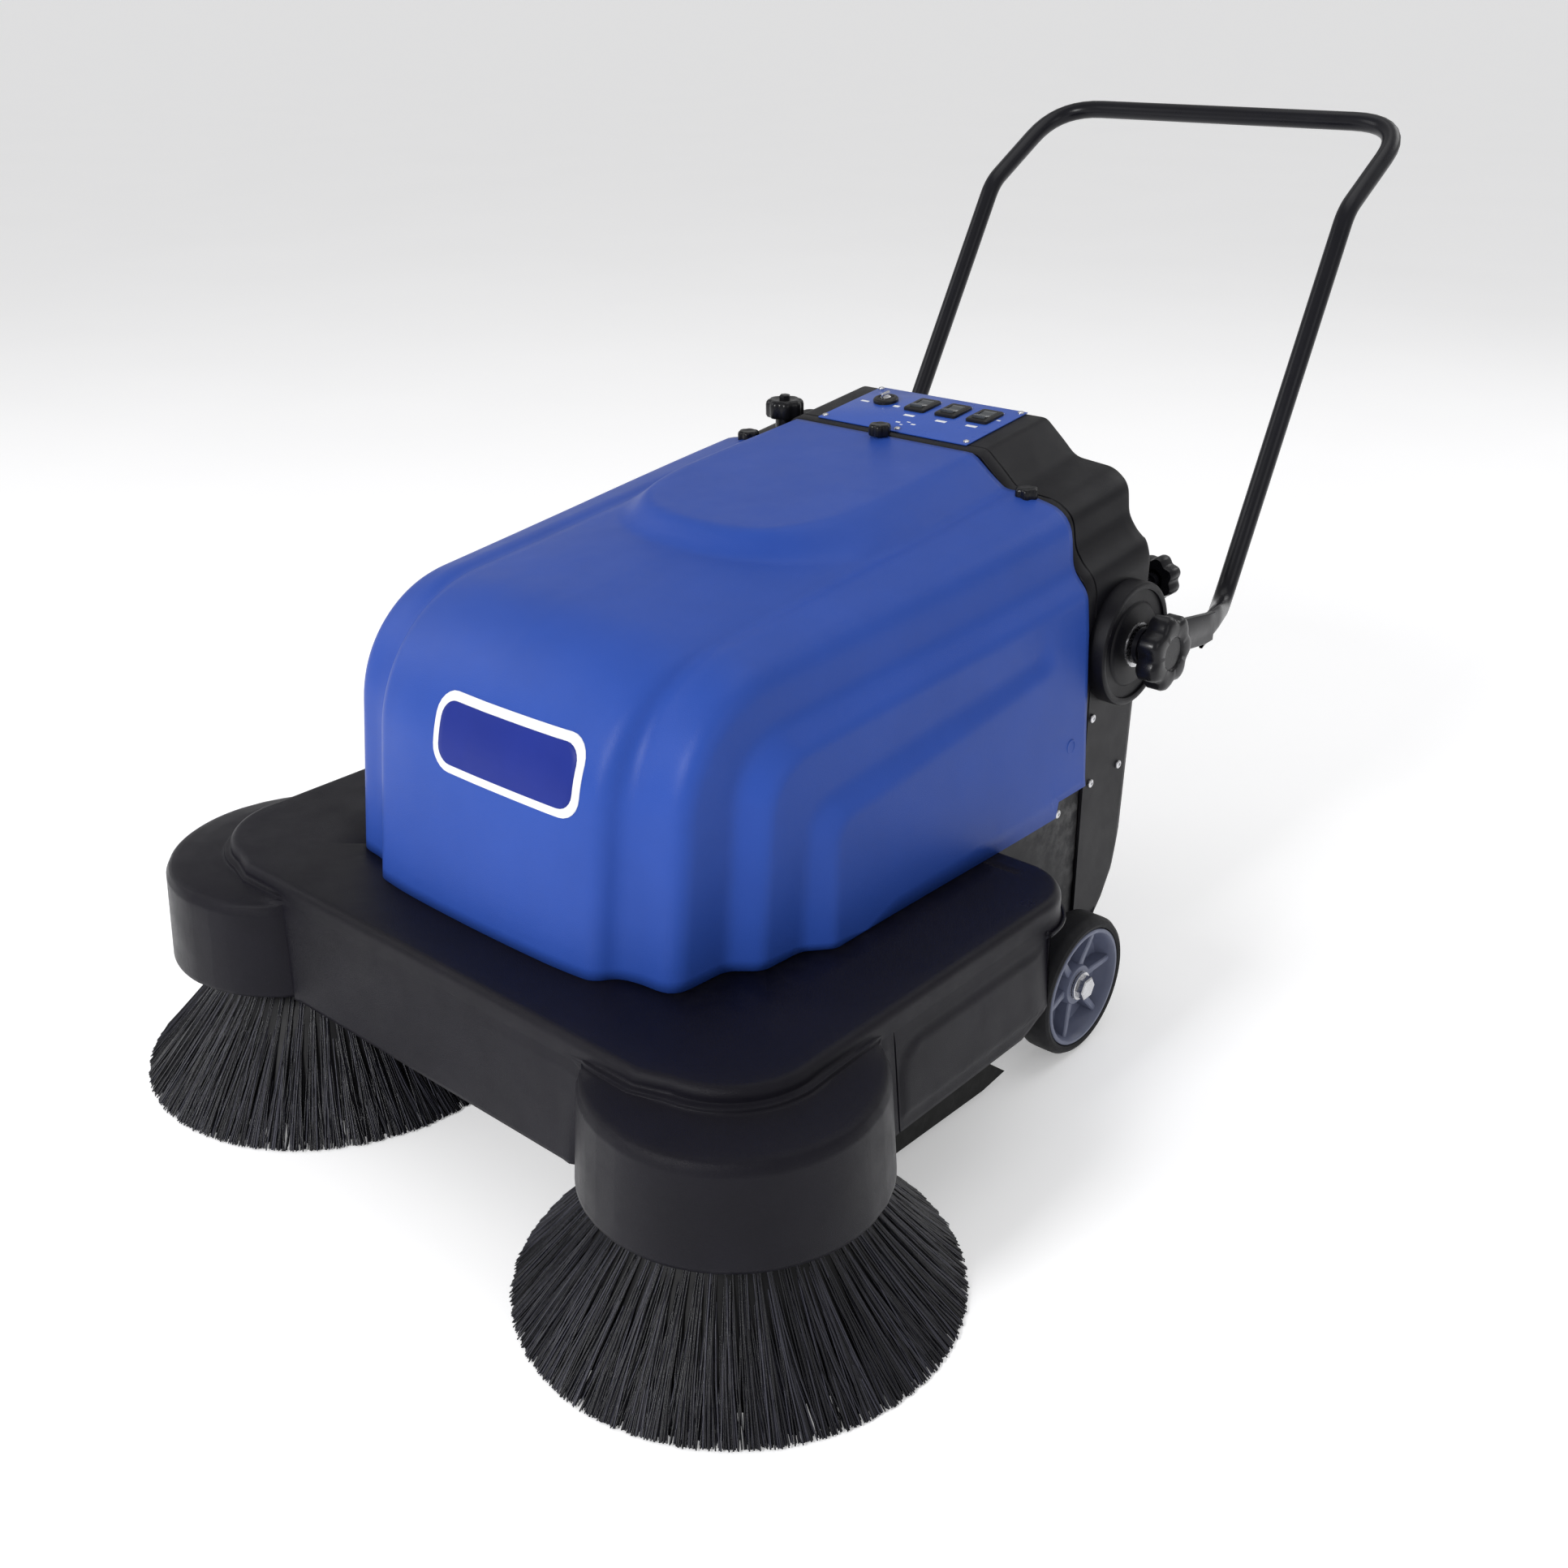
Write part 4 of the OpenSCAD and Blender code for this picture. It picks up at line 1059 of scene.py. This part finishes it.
# ---------------- side brushes
rng = random.Random(7)
STRANDS = 48  # per tuft
BRISTLE_TOP = 128.0
FOOT_R = 205.2  # most that a strand reaches from the brush's axis
DISC = [(4, 128.2), (96, 128.2), (101.5, 129.5), (101.8, 133), (100.5, 137.6), (96, 138.8), (90, 138.9),
        (86, 136.8), (30, 136.6), (24, 138.9), (18, 140), (17.8, 150), (16.5, 150.9), (8, 150.9),
        (7.9, 187.5), (0.1, 187.8)]
CORE = [(70, 127.6), (96, 127.0), (112, 106), (134, 76), (160, 40), (176, 14), (160, 14), (118, 56),
        (90, 100)]
# Rings of tufts: radius at the top and at the floor, tufts, and half steps that the ring is turned
TUFT_RINGS = [(94, 203, 62, 0), (88, 196, 58, 1), (76, 172, 44, 0)]


def strand(shape, points, r0, r1):
    """A tapering three-sided bristle."""
    rows = []
    n = len(points)
    for i, p in enumerate(points):
        t = (points[min(i + 1, n - 1)] - points[max(i - 1, 0)]).normalized()
        u = t.cross(Vector((0.3, 0.2, 0.93))).normalized()
        v = t.cross(u)
        r = lerp(r0, r1, i / (n - 1)) * MM
        rows.append([p + u * r * cos(a) + v * r * sin(a) for a in (0, 2.094, 4.189)])
    shape.grid(rows, close_u=True)


def brush_strand(axis, angle, top_r, floor_r):
    """One bristle of a side brush, which splays out to the floor with a slight bow."""
    spread = rng.gauss(0, 1)
    a_top = angle + rng.gauss(0, 0.018)
    r_top = top_r + rng.uniform(-3.5, 3.5)
    r_foot = min(max(floor_r + rng.gauss(-1.0, 1.5), 120), FOOT_R)
    a_foot = angle + 0.04 + spread * 0.03
    z_foot = max(1.2, lerp(30, 1.2, (r_foot - 120) / 80) + abs(rng.gauss(0, 1.0)))
    points = []
    for step in range(5):
        t = step / 4
        r = lerp(r_top, r_foot, t ** 1.25)
        a = lerp(a_top, a_foot, t ** 1.5)
        bow = 6.0 * sin(pi * t) * (r_foot - 100) / 105
        z = min(lerp(BRISTLE_TOP + 0.4, z_foot, t) + bow, BRISTLE_TOP)
        points.append(Vector((axis.x + r * MM * cos(a), axis.y + r * MM * sin(a), z * MM)))
    return points


def brush(side):
    axis = centre_of(f"brush_disc_{side}")
    at = Matrix.Translation(Vector((axis.x, axis.y, 0)))
    body = f"side_brush_{side}"
    build(f"brush_disc_{side}_turned", Shape().lathe(DISC, at, 72), body, "disc_black",
          replaces=[f"brush_disc_{side}"])
    build(f"brush_core_{side}", Shape().lathe(CORE, at, 72), body, "bristle_black", "disc")
    tufts = Shape()
    for top_r, floor_r, count, turned in TUFT_RINGS:
        for k in range(count):
            angle = 2 * pi * (k + 0.5 * turned) / count
            for _ in range(STRANDS):
                strand(tufts, brush_strand(axis, angle, top_r, floor_r), 0.95, 0.75)
    build(f"bristles_{side}_strands", tufts, body, "bristle_black",
          replaces=[f"bristles_{side}"], sharp=0, clean=False)


for _, side in SIDES:
    brush(side)


# ---------------- roller brush
ROLLER_STRANDS = 2600
ROLLER_ARMS = 6
CORE_R = 46


def roller_strand(low, high):
    """One bristle, in one of the rows that wind along the roller."""
    middle = (low + high) / 2
    x = lerp(low.x + 0.003, high.x - 0.003, rng.random())
    spiral = (x - low.x) / (high.x - low.x) * 2.2
    angle = 2 * pi * rng.randrange(ROLLER_ARMS) / ROLLER_ARMS + spiral + rng.gauss(0, 0.09)
    tip_r = (high.z - low.z) / 2 / MM - 1.5 - abs(rng.gauss(0, 2.0))
    points = []
    for t in (0.0, 0.5, 1.0):
        r = lerp(CORE_R, tip_r, t)
        a = angle + 0.08 * t * t
        p = Vector((x + rng.gauss(0, 0.6) * MM * t, middle.y + r * MM * cos(a),
                    middle.z + r * MM * sin(a)))
        p.x = min(max(p.x, low.x + 0.0012), high.x - 0.0012)
        points.append(p)
    return points


def roller():
    low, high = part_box("roller_bristles")
    x0, x1 = low.x / MM, high.x / MM
    middle = (low + high) / 2
    bed = Shape().lathe([(45.5, x0 + 1), (70, x0 + 1.5), (70, x1 - 1.5), (45.5, x1 - 1)],
                        along((1, 0, 0), Vector((0, middle.y, middle.z))), 48)
    build("roller_bristle_bed", bed, "roller", "bristle_black", "disc")
    strands = Shape()
    for _ in range(ROLLER_STRANDS):
        strand(strands, roller_strand(low, high), 0.9, 0.75)
    build("roller_strands", strands, "roller", "bristle_black",
          replaces=["roller_bristles"], sharp=0, clean=False)


roller()


# ---------------- wheels
SPOKES = 6
HUB_FACE = 294  # x of the wheel's inner side


def spoke(place, w):
    """A rib of the hub with rounded upper edges, rising towards the rim."""
    rows = []
    for r in (20, 26, 32, 38, 44, 50, 55, 60):
        t = (r - 20) / 40
        h = lerp(w - 10.5, w - 6.5, smooth(t)) - 1.5
        half = lerp(4.6, 3.4, t)
        rows.append([place @ (Vector((r, y, z)) * MM) for y, z in
                     ((-half - 0.9, 15.5), (-half, h - 1.2), (-half + 1.2, h),
                      (half - 1.2, h), (half, h - 1.2), (half + 0.9, 15.5))])
    return rows


def wheel(s, side):
    low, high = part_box(f"tyre_{side}")
    middle = (low + high) / 2
    w = (high.x - low.x) / MM
    r = (high.z - low.z) / 2 / MM
    at = along((s, 0, 0), Vector((s * HUB_FACE * MM, middle.y, middle.z)))
    tyre = [(66, 3), (70, 0.8), (74.5, 2.2), (r - 0.4, 7), (r - 0.05, 12), (r - 0.05, w - 12),
            (r - 0.4, w - 7), (74.5, w - 2.2), (71, w - 0.6), (67.4, w - 1.6), (66, w - 4), (66, 3)]
    build(f"tyre_{side}_ring", Shape().lathe(tyre, at, 96), f"wheel_{side}", "tyre_black",
          replaces=[f"tyre_{side}"], sharp=30)
    hub = [(65.8, 3.5), (65.8, w - 2.0), (64.6, w - 1.2), (62.0, w - 1.2), (60.4, w - 3.0),
           (59.0, w - 9), (56.5, w - 16), (54, 18), (50, 16.5), (30, 15.5), (24, 17),
           (22.5, w - 11), (21.6, w - 9.2), (9, w - 9.0), (9, 4), (50, 6), (60, 3.5), (65.8, 3.5)]
    hub = Shape().lathe(hub, at, 96)
    for k in range(SPOKES):
        hub.grid(spoke(at @ Matrix.Rotation(rad(360 / SPOKES * k + 8), 4, "Z"), w))
    build(f"wheel_hub_{side}_ribbed", hub, f"wheel_{side}", "hub_grey",
          replaces=[f"wheel_hub_{side}"], sharp=32)


def axle_bolts():
    """Washer, hexagon head, shank and the nut inside, on each side."""
    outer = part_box("axle_bolts")[1].x / MM
    bolts = Shape()
    for s, _ in SIDES:
        at = along((s, 0, 0), P(0, 509, 78))
        bolts.lathe([(9, outer - 11.2), (15.8, outer - 11.2), (15.8, outer - 8.8),
                     (15, outer - 8.3), (9, outer - 8.3)], at, 40)
        bolts.lathe([(13.2, outer - 8.2), (13.2, outer - 1.4), (11.6, outer - 0.15),
                     (0.02, outer - 0.15)], at, 6)
        bolts.lathe([(7.8, outer - 9), (7.8, 270)], at, 24)
        bolts.lathe([(15.5, 262), (15.5, 251), (7.8, 251)], at, 6)
    build("axle_bolt_heads", bolts, "chassis", "bright_steel",
          replaces=["axle_bolts"], sharp=25)


def caster():
    """Wheel and its pin, which rolls with it."""
    at = along((1, 0, 0), centre_of("caster_wheel"))
    half = [(20, 13.6), (22, 10), (34, 10), (37, 13.4), (46, 13.4), (49.3, 9.5), (49.9, 4)]
    profile = [(8, -13.6), *[(r, -h) for r, h in half], *reversed(half), (8, 13.6)]
    tread = Shape().lathe(profile, at, 72)
    tread.lathe([(3.8, -23.6), (3.8, 23.6)], at, 20)
    for s, _ in SIDES:
        tread.lathe([(6.5, 21.4 * s), (6.5, 23.8 * s), (0.05, 23.8 * s)], at, 6)
    build("caster_tread", tread, "caster_roll", "caster_rubber",
          replaces=["caster_wheel"], sharp=30)


for s, side in SIDES:
    wheel(s, side)
axle_bolts()
caster()

# ---------------- light, floor and camera
FLOOR_HALF, FLOOR_Z = 250, -0.0005
PALE = ((0.93, 0.93, 0.94), (0.95, 0.95, 0.96))


def pale_floor():
    n = Nodes("pale_floor")
    n.link(n.mix(n.ramp(n.noise(1.5, 2.0), 0.3, 0.7), *PALE), n.shader.inputs["Base Color"])
    n.set("Roughness", 0.6)
    n.set("Specular IOR Level", 0.1)
    n.set("Emission Color", (1, 1, 1, 1))
    n.set("Emission Strength", 0.3)
    mesh = bpy.data.meshes.new("floor")
    ends = (-FLOOR_HALF, FLOOR_HALF)
    mesh.from_pydata([(x, y, FLOOR_Z) for y in ends for x in ends], [], [(0, 1, 3, 2)])
    mesh.materials.append(n.mat)
    obj = bpy.data.objects.new("floor", mesh)
    bpy.context.scene.collection.objects.link(obj)


def soft_light(name, at, aim, size, power):
    """A white area light."""
    data = bpy.data.lights.new(name, "AREA")
    data.shape, data.size, data.size_y = "RECTANGLE", size[0], size[1]
    data.energy = power
    obj = bpy.data.objects.new(name, data)
    obj.location = at
    obj.rotation_euler = (Vector(aim) - Vector(at)).to_track_quat("-Z", "Y").to_euler()
    bpy.context.scene.collection.objects.link(obj)


def photo_camera():
    """The photograph's viewing angle."""
    data = bpy.data.cameras.new("camera")
    data.sensor_width = 36.0
    data.lens = 39.2
    data.clip_end = 600
    cam = bpy.data.objects.new("camera", data)
    cam.location = (1.1156, -1.4152, 1.0542)
    azimuth, elevation, roll = rad(41.03), rad(25.18), rad(-0.28)
    forward = Vector((-sin(azimuth) * cos(elevation),
                      cos(azimuth) * cos(elevation), -sin(elevation)))
    upright = forward.to_track_quat("-Z", "Y")
    cam.rotation_euler = (upright @ Matrix.Rotation(roll, 3, "Z").to_quaternion()).to_euler()
    bpy.context.scene.collection.objects.link(cam)
    bpy.context.scene.camera = cam


pale_floor()
world = bpy.data.worlds.new("studio")
bpy.context.scene.world = world
world.use_nodes = True
sky = world.node_tree.nodes["Background"].inputs
sky[0].default_value = (1.0, 1.0, 1.0, 1.0)
sky[1].default_value = 0.46
soft_light("key", (0.1, -3.3, 2.0), (0.0, -0.1, 0.35), (0.7, 0.7), 62)
soft_light("left", (-3.2, -1.8, 2.4), (0, 0, 0.3), (2.0, 2.0), 26)
soft_light("right", (3.4, -0.6, 1.8), (0, 0, 0.3), (1.6, 1.6), 9)
soft_light("top", (0.2, 0.8, 3.6), (0, 0, 0.3), (3.0, 2.0), 18)
soft_light("rear", (0.8, 3.4, 2.4), (0, 0.2, 0.4), (2.0, 1.4), 16)
photo_camera()
bpy.context.scene.view_settings.view_transform = "Standard"
